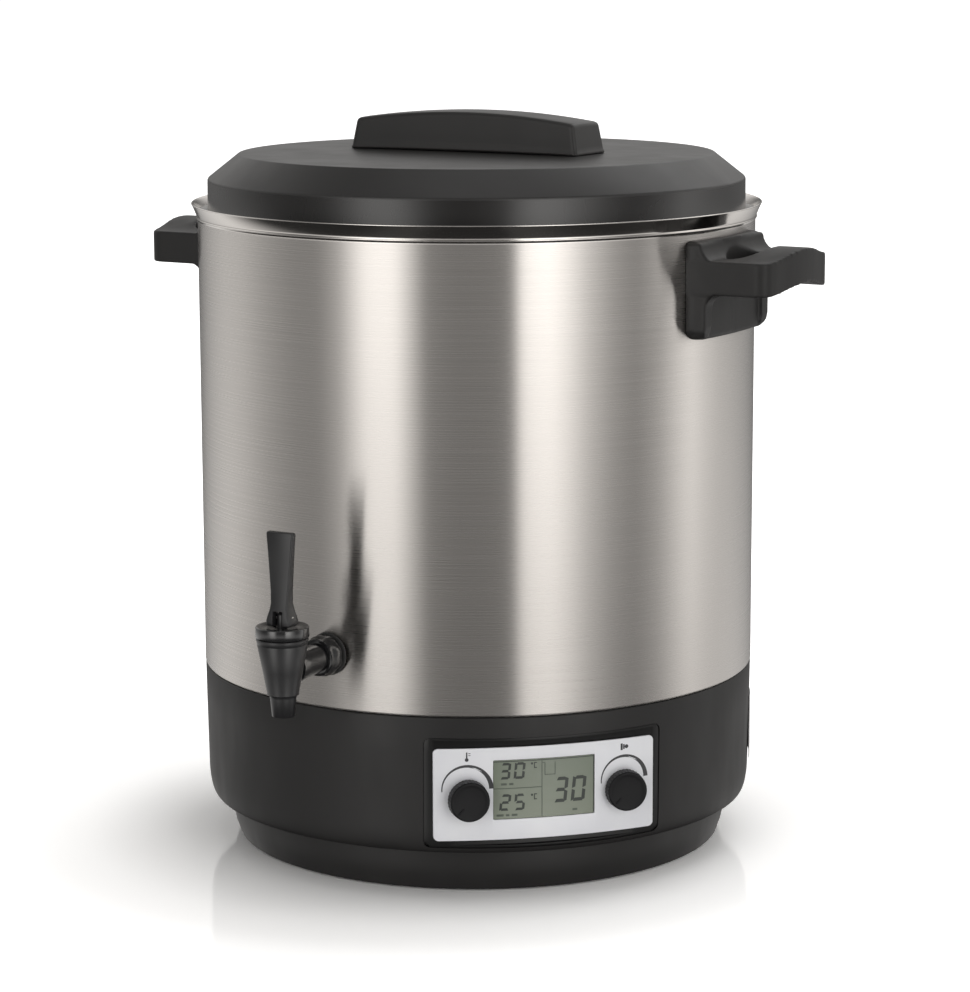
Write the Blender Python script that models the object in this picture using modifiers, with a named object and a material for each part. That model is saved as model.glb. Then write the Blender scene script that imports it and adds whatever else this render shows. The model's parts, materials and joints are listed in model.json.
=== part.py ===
"""Electric yogurt maker: stainless pot, drain tap, lid, and a base with thermostat and timer.

Metres, +Z up, standing on z = 0. The pot's axis stands at POT_AXIS_Y, so that the
origin is the centre of the footprint of the whole object. The tap faces -Y, the side
handles point along +X and -X, and the control panel faces PANEL_AZIMUTH from -Y
towards +X.
"""
import math

import bmesh
import bpy
from mathutils import Matrix, Vector

# ---- driving dimensions, metres ----
POT_AXIS_Y = 0.0302
GAP = 0.0003                 # between pieces that touch

POT_RADIUS = 0.1725          # outside of the steel wall
POT_WALL = 0.001
POT_BOTTOM = 0.1111          # lower hem of the wall
FLOOR_Z = 0.117              # inside floor
RIM_Z = 0.3984
RIM_RADIUS = 0.1764

HOUSING_TOP = 0.1108
STEP_Z = 0.028               # underside of the housing, above the foot ring
FOOT_RADIUS = 0.157
TRAY_TOP = 0.0277
TRAY_FLOOR = 0.0252

LID_TOP = 0.4290
LID_EDGE_Z = 0.4282
LID_TOP_RADIUS = 0.148
LID_WALL_RADIUS = 0.1663

PANEL_AZIMUTH = math.radians(44.5)
PANEL_CURVE = 0.285          # front radius of the bezel
PANEL_FRONT = 0.1675         # bezel's face from the pot's axis, at its middle
PANEL_Z = 0.064
BEZEL_WIDTH = 0.1344
BEZEL_HEIGHT = 0.0556
LCD_X = -0.0016
LCD_Z = 0.0663
LCD_WIDTH = 0.0619
LCD_HEIGHT = 0.0361
KNOB_X = 0.0479
KNOB_Z = 0.0617
KNOB_RADIUS = 0.012
KNOB_FACE = 0.1728           # from the pot's axis
KNOB_BACK = 0.1657

HANDLE_REACH = 0.2200        # outer face of the grip's corners, from the pot's axis
HANDLE_BOW = 0.005           # how far the middle of the grip bows out
HANDLE_HALF_WIDTH = 0.0434
HANDLE_LOW = 0.353           # underside of the grip's ends
HANDLE_HIGH = 0.373          # top of the grip's ends
HANDLE_ARCH = 0.0062         # rise in the middle of the grip
PLATE_LOW = 0.3255
PLATE_HIGH = 0.384
PLATE_FACE = 0.1768
PAD_FACE = 0.1800            # front of the bracket under the arms

TAP_Y = -0.2215              # axis of the tap's cone, from the pot's axis
TAP_PIPE_Z = 0.1445
BONNET_TOP = 0.1704
PIN_Z = 0.1752
LEVER_TOP = 0.2251

ROUND = 48                   # sides of the large turned pieces

PARTS = None
CUTTERS = None
ROOT = None


# ---- scene and materials ----
def clear_scene():
    for thing in list(bpy.data.objects):
        bpy.data.objects.remove(thing)


def make_collections():
    global PARTS, CUTTERS, ROOT
    PARTS = bpy.data.collections.new("yogurt_maker")
    CUTTERS = bpy.data.collections.new("cutters")
    bpy.context.scene.collection.children.link(PARTS)
    bpy.context.scene.collection.children.link(CUTTERS)
    ROOT = bpy.data.objects.new("pot_axis", None)
    ROOT.location = (0, POT_AXIS_Y, 0)
    PARTS.objects.link(ROOT)


def material(name, color, roughness, metallic=0.0, alpha=1.0):
    found = bpy.data.materials.get(name)
    if found:
        return found
    made = bpy.data.materials.new(name)
    made.use_nodes = True
    shader = made.node_tree.nodes["Principled BSDF"]
    shader.inputs["Base Color"].default_value = (*color, 1.0)
    shader.inputs["Roughness"].default_value = roughness
    shader.inputs["Metallic"].default_value = metallic
    shader.inputs["Alpha"].default_value = alpha
    return made


def steel():
    return material("stainless_steel", (0.62, 0.60, 0.58), 0.32, 1.0)


def zinc():
    return material("zinc_steel", (0.66, 0.66, 0.64), 0.35, 1.0)


def aluminium():
    return material("aluminium", (0.78, 0.78, 0.78), 0.4, 1.0)


def black_plastic():
    return material("black_plastic", (0.028, 0.027, 0.027), 0.42)


def knob_plastic():
    return material("knob_plastic", (0.035, 0.035, 0.038), 0.38)


def tap_plastic():
    return material("tap_plastic", (0.022, 0.022, 0.024), 0.28)


def rubber():
    return material("rubber", (0.03, 0.03, 0.03), 0.85)


def silicone():
    return material("silicone", (0.75, 0.73, 0.68), 0.6)


def board():
    return material("circuit_board", (0.03, 0.17, 0.07), 0.5)


def component():
    return material("component_plastic", (0.06, 0.06, 0.07), 0.5)


def bezel_paint():
    return material("bezel_paint", (0.62, 0.63, 0.67), 0.4)


def lens():
    return material("display_lens", (0.30, 0.34, 0.28), 0.15)


def label():
    return material("rating_label", (0.55, 0.55, 0.55), 0.45)


# ---- builders ----
def place(thing, parent=None, location=(0, 0, 0), rotation=(0, 0, 0)):
    PARTS.objects.link(thing)
    thing.parent = parent or ROOT
    thing.location = location
    thing.rotation_euler = rotation
    return thing


def finish(name, bm, mat, smooth=35.0):
    mesh = bpy.data.meshes.new(name)
    bmesh.ops.recalc_face_normals(bm, faces=bm.faces)
    bm.to_mesh(mesh)
    bm.free()
    mesh.shade_smooth()
    mesh.set_sharp_from_angle(angle=math.radians(smooth))
    mesh.materials.append(mat)
    return bpy.data.objects.new(name, mesh)


def turned(name, profile, mat, steps=ROUND, closed=True, **where):
    """Solid of revolution about local Z; the profile is (radius, z), outer side downwards."""
    mesh = bpy.data.meshes.new(name)
    count = len(profile)
    edges = [(i, i + 1) for i in range(count - 1)]
    if closed:
        edges.append((count - 1, 0))
    mesh.from_pydata([(r, 0, z) for r, z in profile], edges, [])
    mesh.materials.append(mat)
    thing = place(bpy.data.objects.new(name, mesh), **where)
    screw = thing.modifiers.new("turn", "SCREW")
    screw.steps = steps
    screw.render_steps = steps
    screw.use_merge_vertices = True
    screw.merge_threshold = 0.00001
    screw.use_smooth_shade = True
    return thing


def box(name, size, mat, bevel=0.0, **where):
    bm = bmesh.new()
    bmesh.ops.create_cube(bm, size=1.0, matrix=Matrix.Diagonal((*size, 1.0)))
    thing = place(finish(name, bm, mat), **where)
    if bevel:
        round_edges(thing, bevel)
    return thing


def rod(name, radius, start, end, mat, sides=16, tip=None, **where):
    """Straight rod from start to end; tip is the radius at the end if it tapers."""
    start, end = Vector(start), Vector(end)
    along = end - start
    turn = along.to_track_quat("Z", "Y").to_matrix().to_4x4()
    bm = bmesh.new()
    bmesh.ops.create_cone(bm, cap_ends=True, segments=sides, radius1=radius,
                          radius2=radius if tip is None else tip, depth=along.length,
                          matrix=Matrix.Translation((start + end) / 2) @ turn)
    return place(finish(name, bm, mat), **where)


def outline(name, loops, depth, mat, **where):
    """Flat outline in local XY, of one or more closed loops, depth thick about z = 0."""
    curve = bpy.data.curves.new(name, "CURVE")
    curve.dimensions = "2D"
    curve.fill_mode = "BOTH"
    curve.extrude = depth / 2
    for loop in loops:
        spline = curve.splines.new("POLY")
        spline.points.add(len(loop) - 1)
        for point, (x, y) in zip(spline.points, loop):
            point.co = (x, y, 0, 1)
        spline.use_cyclic_u = True
    return curve_solid(name, curve, mat, **where)


def tube(name, points, radius, mat, sides=8, **where):
    curve = bpy.data.curves.new(name, "CURVE")
    curve.dimensions = "3D"
    curve.bevel_depth = radius
    curve.bevel_resolution = sides // 2 - 2
    curve.use_fill_caps = True
    spline = curve.splines.new("POLY")
    spline.points.add(len(points) - 1)
    for point, spot in zip(spline.points, points):
        point.co = (*spot, 1)
    return curve_solid(name, curve, mat, **where)


def curve_solid(name, curve, mat, **where):
    source = bpy.data.objects.new(name, curve)
    bpy.context.scene.collection.objects.link(source)
    depsgraph = bpy.context.evaluated_depsgraph_get()
    mesh = bpy.data.meshes.new_from_object(source.evaluated_get(depsgraph))
    bpy.data.objects.remove(source)
    bpy.data.curves.remove(curve)
    bm = bmesh.new()
    bm.from_mesh(mesh)
    bpy.data.meshes.remove(mesh)
    bmesh.ops.remove_doubles(bm, verts=bm.verts, dist=0.00001)
    return place(finish(name, bm, mat), **where)


def round_edges(thing, width, segments=2, angle=40.0):
    bevel = thing.modifiers.new("round", "BEVEL")
    bevel.width = width
    bevel.segments = segments
    bevel.limit_method = "ANGLE"
    bevel.angle_limit = math.radians(angle)
    return thing


def combine(thing, other, operation="DIFFERENCE"):
    """Cut, join or intersect thing with other, which then serves only as the operand."""
    step = thing.modifiers.new(operation.lower(), "BOOLEAN")
    step.operation = operation
    step.solver = "EXACT"
    step.object = other
    other.hide_render = True
    other.display_type = "WIRE"
    if other.name in PARTS.objects:
        PARTS.objects.unlink(other)
        CUTTERS.objects.link(other)
    return thing


def arc(cx, cy, radius, start, end, count):
    """Points on an arc, both ends included, angles in degrees."""
    angles = [math.radians(start + (end - start) * i / count) for i in range(count + 1)]
    return [(cx + radius * math.cos(a), cy + radius * math.sin(a)) for a in angles]


def rounded_rectangle(cx, cy, width, height, radius, count=3):
    x, y = width / 2 - radius, height / 2 - radius
    return (arc(cx + x, cy + y, radius, 0, 90, count) + arc(cx - x, cy + y, radius, 90, 180, count)
            + arc(cx - x, cy - y, radius, 180, 270, count)
            + arc(cx + x, cy - y, radius, 270, 360, count))


def circle(cx, cy, radius, count):
    return arc(cx, cy, radius, 0, 360 - 360 / count, count - 1)


def levels_box(name, levels, mat, **where):
    """Box whose half width x and half depth y are given at each height: (z, x, y)."""
    bm = bmesh.new()
    bmesh.ops.create_cube(bm, size=1.0)
    upright = [e for e in bm.edges if abs(e.verts[0].co.z - e.verts[1].co.z) > 0.5]
    bmesh.ops.subdivide_edges(bm, edges=upright, cuts=len(levels) - 2, use_grid_fill=True)
    for vert in bm.verts:
        z, x, y = levels[round((vert.co.z + 0.5) * (len(levels) - 1))]
        vert.co = (math.copysign(x, vert.co.x), math.copysign(y, vert.co.y), z)
    return place(finish(name, bm, mat), **where)


# ---- pot ----
def make_pot_wall():
    """Rolled wall with the flared, beaded rim, and the holes for the tap and the handles."""
    inner = POT_RADIUS - POT_WALL
    profile = [(0.1755, RIM_Z), (RIM_RADIUS, 0.3976), (0.1762, 0.3964), (0.1731, 0.3897),
               (0.1732, 0.3888), (POT_RADIUS, 0.3878), (POT_RADIUS, POT_BOTTOM),
               (inner, POT_BOTTOM), (inner, 0.3894), (0.1748, 0.3972)]
    wall = turned("pot_wall", profile, steel())
    combine(wall, rod("tap_hole_cutter", 0.0086, (0, -0.16, TAP_PIPE_Z),
                      (0, -0.18, TAP_PIPE_Z), steel()))
    for side in (-1, 1):
        for y in (-SCREW_Y, SCREW_Y):
            combine(wall, rod("handle_hole_cutter", 0.0024, (side * 0.16, y, SCREW_Z),
                              (side * 0.18, y, SCREW_Z), steel(), sides=12))
    return wall


def make_pot_floor():
    """Flat pressed disc whose chamfered edge meets the inside of the wall."""
    edge = POT_RADIUS - POT_WALL - GAP
    profile = [(0, FLOOR_Z), (edge - 0.0006, FLOOR_Z), (edge, FLOOR_Z - 0.0006),
               (edge, FLOOR_Z - POT_WALL), (0, FLOOR_Z - POT_WALL)]
    return turned("pot_floor", profile, steel(), closed=False)


# ---- base ----
BASE_SCREW_RING = 0.147
FOOT_RING = 0.132
SCREW_ANGLES = (10.0, 100.0, 190.0, 280.0)
FOOT_ANGLES = (45.0, 135.0, 225.0, 315.0)
GLAND_Z = 0.060
PLATE_ANGLES = (22.0, 44.0)  # rating plate, from +X towards +Y


def polar(radius, degrees, z=0.0):
    angle = math.radians(degrees)
    return Vector((radius * math.cos(angle), radius * math.sin(angle), z))


def housing_outer():
    return [(0.1717, HOUSING_TOP), (0.1723, 0.1102), (0.1712, 0.046), (0.1707, 0.038),
            (0.1697, 0.0316), (0.1686, 0.0288), (0.1674, STEP_Z)]


def make_base_housing():
    profile = housing_outer() + [
        (0.138, STEP_Z), (0.138, 0.0305), (0.1652, 0.0305), (0.1676, 0.034), (0.1686, 0.046),
        (0.1695, 0.1052), (0.1660, 0.1080), (0.1660, 0.1146), (0.1706, 0.1146),
        (0.1706, HOUSING_TOP)]
    housing = turned("base_housing", profile, black_plastic())
    for i, angle in enumerate(SCREW_ANGLES):
        combine(housing, rod(f"screw_boss_{i}", 0.0048, polar(BASE_SCREW_RING, angle, 0.0295),
                             polar(BASE_SCREW_RING, angle, 0.0415), black_plastic(), sides=12),
                "UNION")
        combine(housing, rod(f"screw_bore_{i}", 0.0021, polar(BASE_SCREW_RING, angle, 0.020),
                             polar(BASE_SCREW_RING, angle, 0.0395), black_plastic(), sides=12))
    combine(housing, panel_prism("panel_opening_cutter", 0.1446, 0.0671, 0.0043, 0.150, 0.190,
                                 z=FRAME_Z))
    combine(housing, rod("gland_cutter", 0.0073, (0, 0.160, GLAND_Z), (0, 0.180, GLAND_Z),
                         black_plastic()))
    return housing


def make_base_tray():
    profile = [(0, TRAY_TOP), (FOOT_RADIUS, TRAY_TOP), (0.1569, 0.0215), (0.1558, 0.012),
               (0.1526, 0.0026), (0.1510, 0.0010), (0.1474, 0.0010), (0.1528, 0.0135),
               (0.1540, TRAY_FLOOR), (0, TRAY_FLOOR)]
    tray = turned("base_tray", profile, black_plastic(), closed=False)
    for i, angle in enumerate(FOOT_ANGLES):
        combine(tray, rod(f"foot_post_{i}", 0.0095, polar(FOOT_RING, angle, 0.0033),
                          polar(FOOT_RING, angle, 0.026), black_plastic()), "UNION")
    for i, angle in enumerate(SCREW_ANGLES):
        combine(tray, rod(f"tray_hole_{i}", 0.0023, polar(BASE_SCREW_RING, angle, 0.02),
                          polar(BASE_SCREW_RING, angle, 0.03), black_plastic(), sides=12))
    combine(tray, rod("stud_hole_cutter", 0.0046, (0, 0, 0.02), (0, 0, 0.03), black_plastic(),
                      sides=12))
    for i, (x, y) in enumerate(POWER_POSTS):
        combine(tray, rod(f"board_post_{i}", 0.003, (x, y, 0.026),
                          (x, y, POWER_BOARD_Z - 0.0008 - GAP), black_plastic(), sides=8),
                "UNION")
    return tray


def make_feet_and_screws():
    for i, angle in enumerate(FOOT_ANGLES):
        foot = [(0, 0.003), (0.0092, 0.003), (0.0092, 0.0008), (0.0084, 0), (0, 0)]
        turned(f"rubber_foot_{i + 1}", foot, rubber(), steps=16, closed=False,
               location=polar(FOOT_RING, angle))
    head, shank = 0.0038, 0.0019
    for i, angle in enumerate(SCREW_ANGLES):
        screw = [(0, 0.0385), (0.0008, 0.0385), (shank, 0.037), (shank, TRAY_FLOOR - GAP),
                 (head, TRAY_FLOOR - GAP), (0.0034, 0.0232), (0.0020, 0.0226), (0, 0.0226)]
        turned(f"base_screw_{i + 1}", screw, zinc(), steps=12, closed=False,
               location=polar(BASE_SCREW_RING, angle))


def make_cable_gland():
    """Bushing through the back of the housing; local Z points out of the object."""
    profile = [(0.0040, 0.0050), (0.0062, 0.0050), (0.0098, 0.0022), (0.0100, GAP),
               (0.0069, GAP), (0.0069, -0.0036), (0.0082, -0.0042), (0.0069, -0.0068),
               (0.0040, -0.0068)]
    turned("cable_gland", profile, black_plastic(), steps=16,
           location=(0, 0.1717, GLAND_Z), rotation=(-math.pi / 2, 0, 0))


def make_rating_plate():
    low, high = PLATE_ANGLES
    outer = arc(0, 0, 0.1726, low, high, 8)
    inner = arc(0, 0, 0.17225, high, low, 8)
    outline("rating_plate", [outer + inner], 0.040, label(), location=(0, 0, 0.068))


# ---- control panel; local -Y faces out of the panel ----
PANEL = None
FRAME_Z = 0.0648
PANEL_CENTRE = PANEL_CURVE - PANEL_FRONT   # local Y of the bezel's centre of curvature
BEZEL_BACK = PANEL_CURVE - 0.0013
FRAME_FRONT = BEZEL_BACK - GAP
FRAME_BACK = FRAME_FRONT - 0.0025


def make_panel_axis():
    global PANEL
    PANEL = bpy.data.objects.new("panel_axis", None)
    place(PANEL, rotation=(0, 0, PANEL_AZIMUTH))


def panel_prism(name, width, height, corner, near, far, x=0.0, z=PANEL_Z):
    """Prism along the panel's axis between two distances from the pot's axis."""
    loop = rounded_rectangle(0, 0, width, height, corner)
    return outline(name, [loop], far - near, black_plastic(), parent=PANEL,
                   location=(x, -(near + far) / 2, z), rotation=(math.pi / 2, 0, 0))


def panel_cylinder(name, radius):
    return rod(name, radius, (0, PANEL_CENTRE, 0.0), (0, PANEL_CENTRE, 0.12), black_plastic(),
               sides=180, parent=PANEL)


def panel_hole(name, radius, x, z, mat):
    return rod(name, radius, (x, -0.14, z), (x, -0.19, z), mat, sides=16, parent=PANEL)


def make_panel_frame():
    frame = panel_prism("panel_frame", 0.1440, 0.0665, 0.0040, 0.145, 0.175, z=FRAME_Z)
    shrunk = [(0, 0.105)] + [(r - 0.0004, z) for r, z in housing_outer()[1:]]
    shrunk[1] = (shrunk[1][0], 0.105)
    combine(frame, turned("housing_skin", shrunk + [(0, STEP_Z)], black_plastic(), steps=96,
                          closed=False), "INTERSECT")
    combine(frame, panel_cylinder("frame_back_cutter", FRAME_BACK))
    pocket = panel_prism("frame_pocket_cutter", 0.1408, 0.0633, 0.0030, 0.150, 0.190, z=FRAME_Z)
    combine(pocket, panel_cylinder("pocket_floor_cutter", FRAME_FRONT))
    combine(frame, pocket)
    combine(frame, panel_prism("frame_window_cutter", LCD_WIDTH - 0.002, LCD_HEIGHT - 0.002,
                               0.001, 0.140, 0.190, LCD_X, LCD_Z))
    for i, x in enumerate((-KNOB_X, KNOB_X)):
        combine(frame, panel_hole(f"frame_shaft_cutter_{i}", 0.0045, x, KNOB_Z, black_plastic()))
    frame.data.materials.clear()
    frame.data.materials.append(black_plastic())


def make_panel_bezel():
    bezel = panel_prism("panel_bezel", BEZEL_WIDTH, BEZEL_HEIGHT, 0.0030, 0.145, 0.180)
    combine(bezel, panel_cylinder("bezel_front_cutter", PANEL_CURVE), "INTERSECT")
    combine(bezel, panel_cylinder("bezel_back_cutter", BEZEL_BACK))
    combine(bezel, panel_prism("bezel_window_cutter", LCD_WIDTH, LCD_HEIGHT, 0.0008, 0.140,
                               0.190, LCD_X, LCD_Z))
    for i, x in enumerate((-KNOB_X, KNOB_X)):
        combine(bezel, panel_hole(f"bezel_shaft_cutter_{i}", 0.0045, x, KNOB_Z, bezel_paint()))
    bezel.data.materials.clear()
    bezel.data.materials.append(bezel_paint())


def make_display():
    glass = panel_prism("lcd_lens", LCD_WIDTH - 2 * GAP, LCD_HEIGHT - 2 * GAP, 0.0006, 0.145,
                        0.180, LCD_X, LCD_Z)
    combine(glass, panel_cylinder("lens_front_cutter", PANEL_CURVE - 0.0003), "INTERSECT")
    combine(glass, panel_cylinder("lens_back_cutter", BEZEL_BACK))
    glass.data.materials.clear()
    glass.data.materials.append(lens())
    box("lcd_module", (0.0680, 0.0054, 0.0420), component(), parent=PANEL,
        location=(LCD_X, -0.1575, LCD_Z))
    box("control_board", (0.1280, 0.0016, 0.0520), board(), parent=PANEL,
        location=(0, -0.1533, 0.0640))


def make_knobs():
    for name, x in (("temperature", -KNOB_X), ("timer", KNOB_X)):
        box(f"{name}_encoder", (0.0130, 0.0034, 0.0120), component(), parent=PANEL,
            location=(x, -0.1562, KNOB_Z))
        shaft = [(0, 0.0118), (0.0022, 0.0118), (0.0030, 0.0108), (0.0030, 0), (0, 0)]
        turned(f"{name}_shaft", shaft, zinc(), steps=16, closed=False, parent=PANEL,
               location=(x, -0.1582, KNOB_Z), rotation=(math.pi / 2, 0, 0))
        face = KNOB_FACE - KNOB_BACK
        knob = [(0, face), (KNOB_RADIUS - 0.0012, face), (KNOB_RADIUS - 0.0004, face - 0.0005),
                (KNOB_RADIUS, face - 0.0014), (KNOB_RADIUS + 0.0004, 0), (0.0033, 0),
                (0.0033, 0.0050), (0, 0.0050)]
        turned(f"{name}_knob", knob, knob_plastic(), steps=32, closed=False, parent=PANEL,
               location=(x, -KNOB_BACK, KNOB_Z), rotation=(math.pi / 2, 0, 0))


# ---- heater and electronics in the base ----
POWER_BOARD_Z = 0.0370
POWER_POSTS = ((-0.088, 0.014), (-0.012, 0.014), (-0.088, 0.066), (-0.012, 0.066))
ELEMENT_Z = 0.1086
SHIELD_Z = 0.094


def make_heater():
    turned("heat_spreader", [(0, 0.1156), (0.125, 0.1156), (0.125, 0.1130), (0, 0.1130)],
           aluminium(), closed=False)
    turns = 32
    ring = []
    for i in range(turns + 1):
        spot = polar(0.090, 285 + 330 * i / turns, ELEMENT_Z)
        ring.append(spot)
    ends = [Vector((ring[0].x, ring[0].y, 0.098)), Vector((ring[-1].x, ring[-1].y, 0.098))]
    tube("heating_element", [ends[0]] + ring + [ends[1]], 0.0040, zinc(), sides=6)
    shield = [(0.152, 0.1080), (0.152, SHIELD_Z - 0.0008), (0.008, SHIELD_Z - 0.0008),
              (0.008, SHIELD_Z), (0.1512, SHIELD_Z), (0.1512, 0.1080)]
    turned("heat_shield", shield, aluminium(), steps=32)
    turned("overheat_cutout", [(0, 0.1127), (0.0085, 0.1127), (0.0085, 0.1065), (0.0060, 0.1040),
                               (0.0060, 0.1010), (0, 0.1010)], component(), steps=16,
           closed=False, location=(0.042, 0.030, 0))
    turned("temperature_sensor", [(0, 0.1127), (0.0045, 0.1127), (0.0045, 0.1020),
                                  (0.0030, 0.1000), (0, 0.1000)], zinc(), steps=12,
           closed=False, location=(-0.040, 0.022, 0))
    turned("pot_stud", [(0, 0.1127), (0.0075, 0.1127), (0.0075, 0.1110), (0.0040, 0.1100),
                        (0.0040, 0.0155), (0.0034, 0.0148), (0, 0.0148)], zinc(), steps=16,
           closed=False)
    turned("pot_nut", [(0.0065, 0.0249), (0.0075, 0.0240), (0.0075, 0.0186), (0.0065, 0.0178),
                       (0.0049, 0.0178), (0.0049, 0.0249)], zinc(), steps=6)


def make_power_board():
    centre_x = sum(x for x, _ in POWER_POSTS) / len(POWER_POSTS)
    centre_y = sum(y for _, y in POWER_POSTS) / len(POWER_POSTS)
    box("power_board", (0.090, 0.066, 0.0016), board(),
        location=(centre_x, centre_y, POWER_BOARD_Z))
    relay_z = POWER_BOARD_Z + 0.0008 + GAP + 0.0078
    box("power_relay", (0.029, 0.0127, 0.0156), component(), bevel=0.0006,
        location=(centre_x + 0.018, centre_y + 0.012, relay_z))
    box("power_terminals", (0.034, 0.0110, 0.0120), component(), bevel=0.0005,
        location=(centre_x - 0.020, centre_y + 0.020, POWER_BOARD_Z + 0.0008 + GAP + 0.006))


# ---- side handles ----
SCREW_Y = 0.031
SCREW_Z = 0.362
PLATE_HALF_ANGLE = math.degrees(HANDLE_HALF_WIDTH / POT_RADIUS)


def smooth_step(value):
    value = min(max(value, 0.0), 1.0)
    return value * value * (3 - 2 * value)


def grip_outline():
    """Plan of the grip: side arms, rounded corners and a bowed outer face."""
    half, corner = HANDLE_HALF_WIDTH, 0.008
    x = HANDLE_REACH - corner
    points = [(0.165, -half)]
    points += arc(x, -half + corner, corner, -90, -15, 3)
    steps = 10
    top = half - corner
    for i in range(1, steps):
        y = -top + 2 * top * i / steps
        bow = HANDLE_BOW * math.cos(math.pi * y / (2 * half)) ** 2
        points.append((HANDLE_REACH + bow, y))
    points += arc(x, half - corner, corner, 15, 90, 3)
    points.append((0.165, half))
    return points


def finger_hole():
    """Plan of the finger opening, an oval that follows the bowed grip."""
    return [(0.1907 + 0.0135 * math.cos(a), 0.0255 * math.sin(a))
            for a in [2 * math.pi * i / 20 for i in range(20)]]


def make_grip(name):
    """Loop of the handle, arched upwards in the middle of the grip."""
    grip = outline(name, [grip_outline(), finger_hole()], HANDLE_HIGH - HANDLE_LOW,
                   black_plastic(), location=(0, 0, (HANDLE_HIGH + HANDLE_LOW) / 2))
    for vert in grip.data.vertices:
        middle = math.cos(math.pi * vert.co.y / (2 * HANDLE_HALF_WIDTH)) ** 2
        reach = smooth_step((vert.co.x - 0.184) / 0.020)
        share = 1.0 if vert.co.z > 0 else 0.9
        vert.co.z += HANDLE_ARCH * middle * reach * share
    return grip


def plate_outline():
    """Front view of the bracket, with its larger corners at the bottom."""
    half, height, lower, upper = HANDLE_HALF_WIDTH, (PLATE_HIGH - PLATE_LOW) / 2, 0.008, 0.004
    return (arc(half - lower, lower - height, lower, -90, 0, 3)
            + arc(half - upper, height - upper, upper, 0, 90, 2)
            + arc(upper - half, height - upper, upper, 90, 180, 2)
            + arc(lower - half, lower - height, lower, 180, 270, 3))


def make_side_handle(name, turn):
    outer = arc(0, 0, PLATE_FACE, -PLATE_HALF_ANGLE, PLATE_HALF_ANGLE, 12)
    back = arc(0, 0, POT_RADIUS - 0.006, PLATE_HALF_ANGLE, -PLATE_HALF_ANGLE, 6)
    handle = outline(name, [outer + back], PLATE_HIGH - PLATE_LOW, black_plastic(),
                     location=(0, 0, (PLATE_HIGH + PLATE_LOW) / 2))
    round_edges(handle, 0.003, segments=2, angle=60)
    brow = [(0.168, PLATE_HIGH - 0.0012), (PLATE_FACE - 0.0014, PLATE_HIGH - 0.0012)]
    brow += arc(PLATE_FACE + 0.0105, PLATE_HIGH - 0.0010, 0.0109, 185, 268, 5)
    brow += [(PLATE_FACE + 0.012, HANDLE_LOW + 0.002)]
    brow += arc(PAD_FACE + 0.0084, HANDLE_LOW - 0.0080, 0.0084, 90, 180, 4)
    brow += [(PAD_FACE, PLATE_LOW + 0.008), (PAD_FACE - 0.0010, PLATE_LOW + 0.004),
             (PLATE_FACE - 0.0003, PLATE_LOW + 0.001), (0.168, PLATE_LOW + 0.001)]
    gusset = outline(f"{name}_gusset", [brow], 2 * HANDLE_HALF_WIDTH - 0.0012, black_plastic(),
                     rotation=(math.pi / 2, 0, 0))
    scoop = box(f"{name}_scoop", (0.050, 0.068, 0.060), black_plastic(), bevel=0.008,
                location=(PLATE_FACE + 0.0252, 0, HANDLE_LOW - 0.0302))
    combine(gusset, scoop)
    hole = outline(f"{name}_finger_hole", [finger_hole()], 0.06, black_plastic(),
                   location=(0, 0, 0.363))
    combine(handle, gusset, "UNION")
    combine(handle, outline(f"{name}_trim", [plate_outline()], 0.06, black_plastic(),
                            location=(0.18, 0, (PLATE_HIGH + PLATE_LOW) / 2),
                            rotation=(math.pi / 2, 0, math.pi / 2)), "INTERSECT")
    combine(handle, make_grip(f"{name}_grip"), "UNION")
    combine(handle, hole)
    combine(handle, rod(f"{name}_seat", POT_RADIUS + GAP, (0, 0, 0.31), (0, 0, 0.40),
                        black_plastic(), sides=128))
    for y in (-SCREW_Y, SCREW_Y):
        combine(handle, rod(f"{name}_bore_{'a' if y < 0 else 'b'}", 0.0023, (0.160, y, SCREW_Z),
                            (0.196, y, SCREW_Z), black_plastic(), sides=12))
    handle.rotation_euler = (0, 0, turn)
    for step in handle.modifiers:
        if step.type == "BOOLEAN":
            step.object.parent = handle
            step.object.location.z -= handle.location.z
    return handle


def make_handle_screws():
    profile = [(0, 0.0205), (0.0008, 0.0205), (0.0020, 0.0190), (0.0020, 0), (0.0036, 0),
               (0.0036, -0.0010), (0.0024, -0.0022), (0, -0.0022)]
    for side, label_side in ((1, "right"), (-1, "left")):
        for y, place_name in ((-SCREW_Y, "front"), (SCREW_Y, "rear")):
            turned(f"handle_screw_{label_side}_{place_name}", profile, zinc(), steps=12,
                   closed=False, location=(side * 0.1672, y, SCREW_Z),
                   rotation=(0, side * math.pi / 2, 0))


# ---- lid ----
def make_lid():
    profile = [(0, LID_TOP), (0.100, 0.4287), (0.138, 0.4285),
               (LID_TOP_RADIUS - 0.0016, LID_EDGE_Z), (LID_TOP_RADIUS + 0.0004, 0.4272),
               (0.1651, 0.4140), (0.1661, 0.4124), (LID_WALL_RADIUS, 0.3946), (0.1722, 0.3940),
               (0.1722, 0.3920), (0.1698, 0.3914), (0.1694, 0.3840), (0.1674, 0.3840),
               (0.1640, 0.3924), (0.1634, 0.4124), (0.1467, 0.4258), (0.100, 0.4263),
               (0, 0.4266)]
    shell = turned("lid_shell", profile, black_plastic(), closed=False, location=(0, 0, 0))
    for i, x in enumerate((-LID_SCREW_X, LID_SCREW_X)):
        combine(shell, rod(f"lid_hole_{i}", 0.0024, (x, 0, 0.42), (x, 0, 0.44), black_plastic(),
                           sides=12))
    return shell


LID_SCREW_X = 0.058
LID_SCREW_Z = 0.4261         # underside of the lid, where the heads sit
LID_HANDLE_BASE = LID_TOP + GAP
LID_HANDLE_TOP = 0.4538
LID_HANDLE_END = 0.4483      # top of the bar at its ends
LID_HANDLE_LENGTH = 0.1645
LID_HANDLE_WIDTH = 0.040


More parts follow.
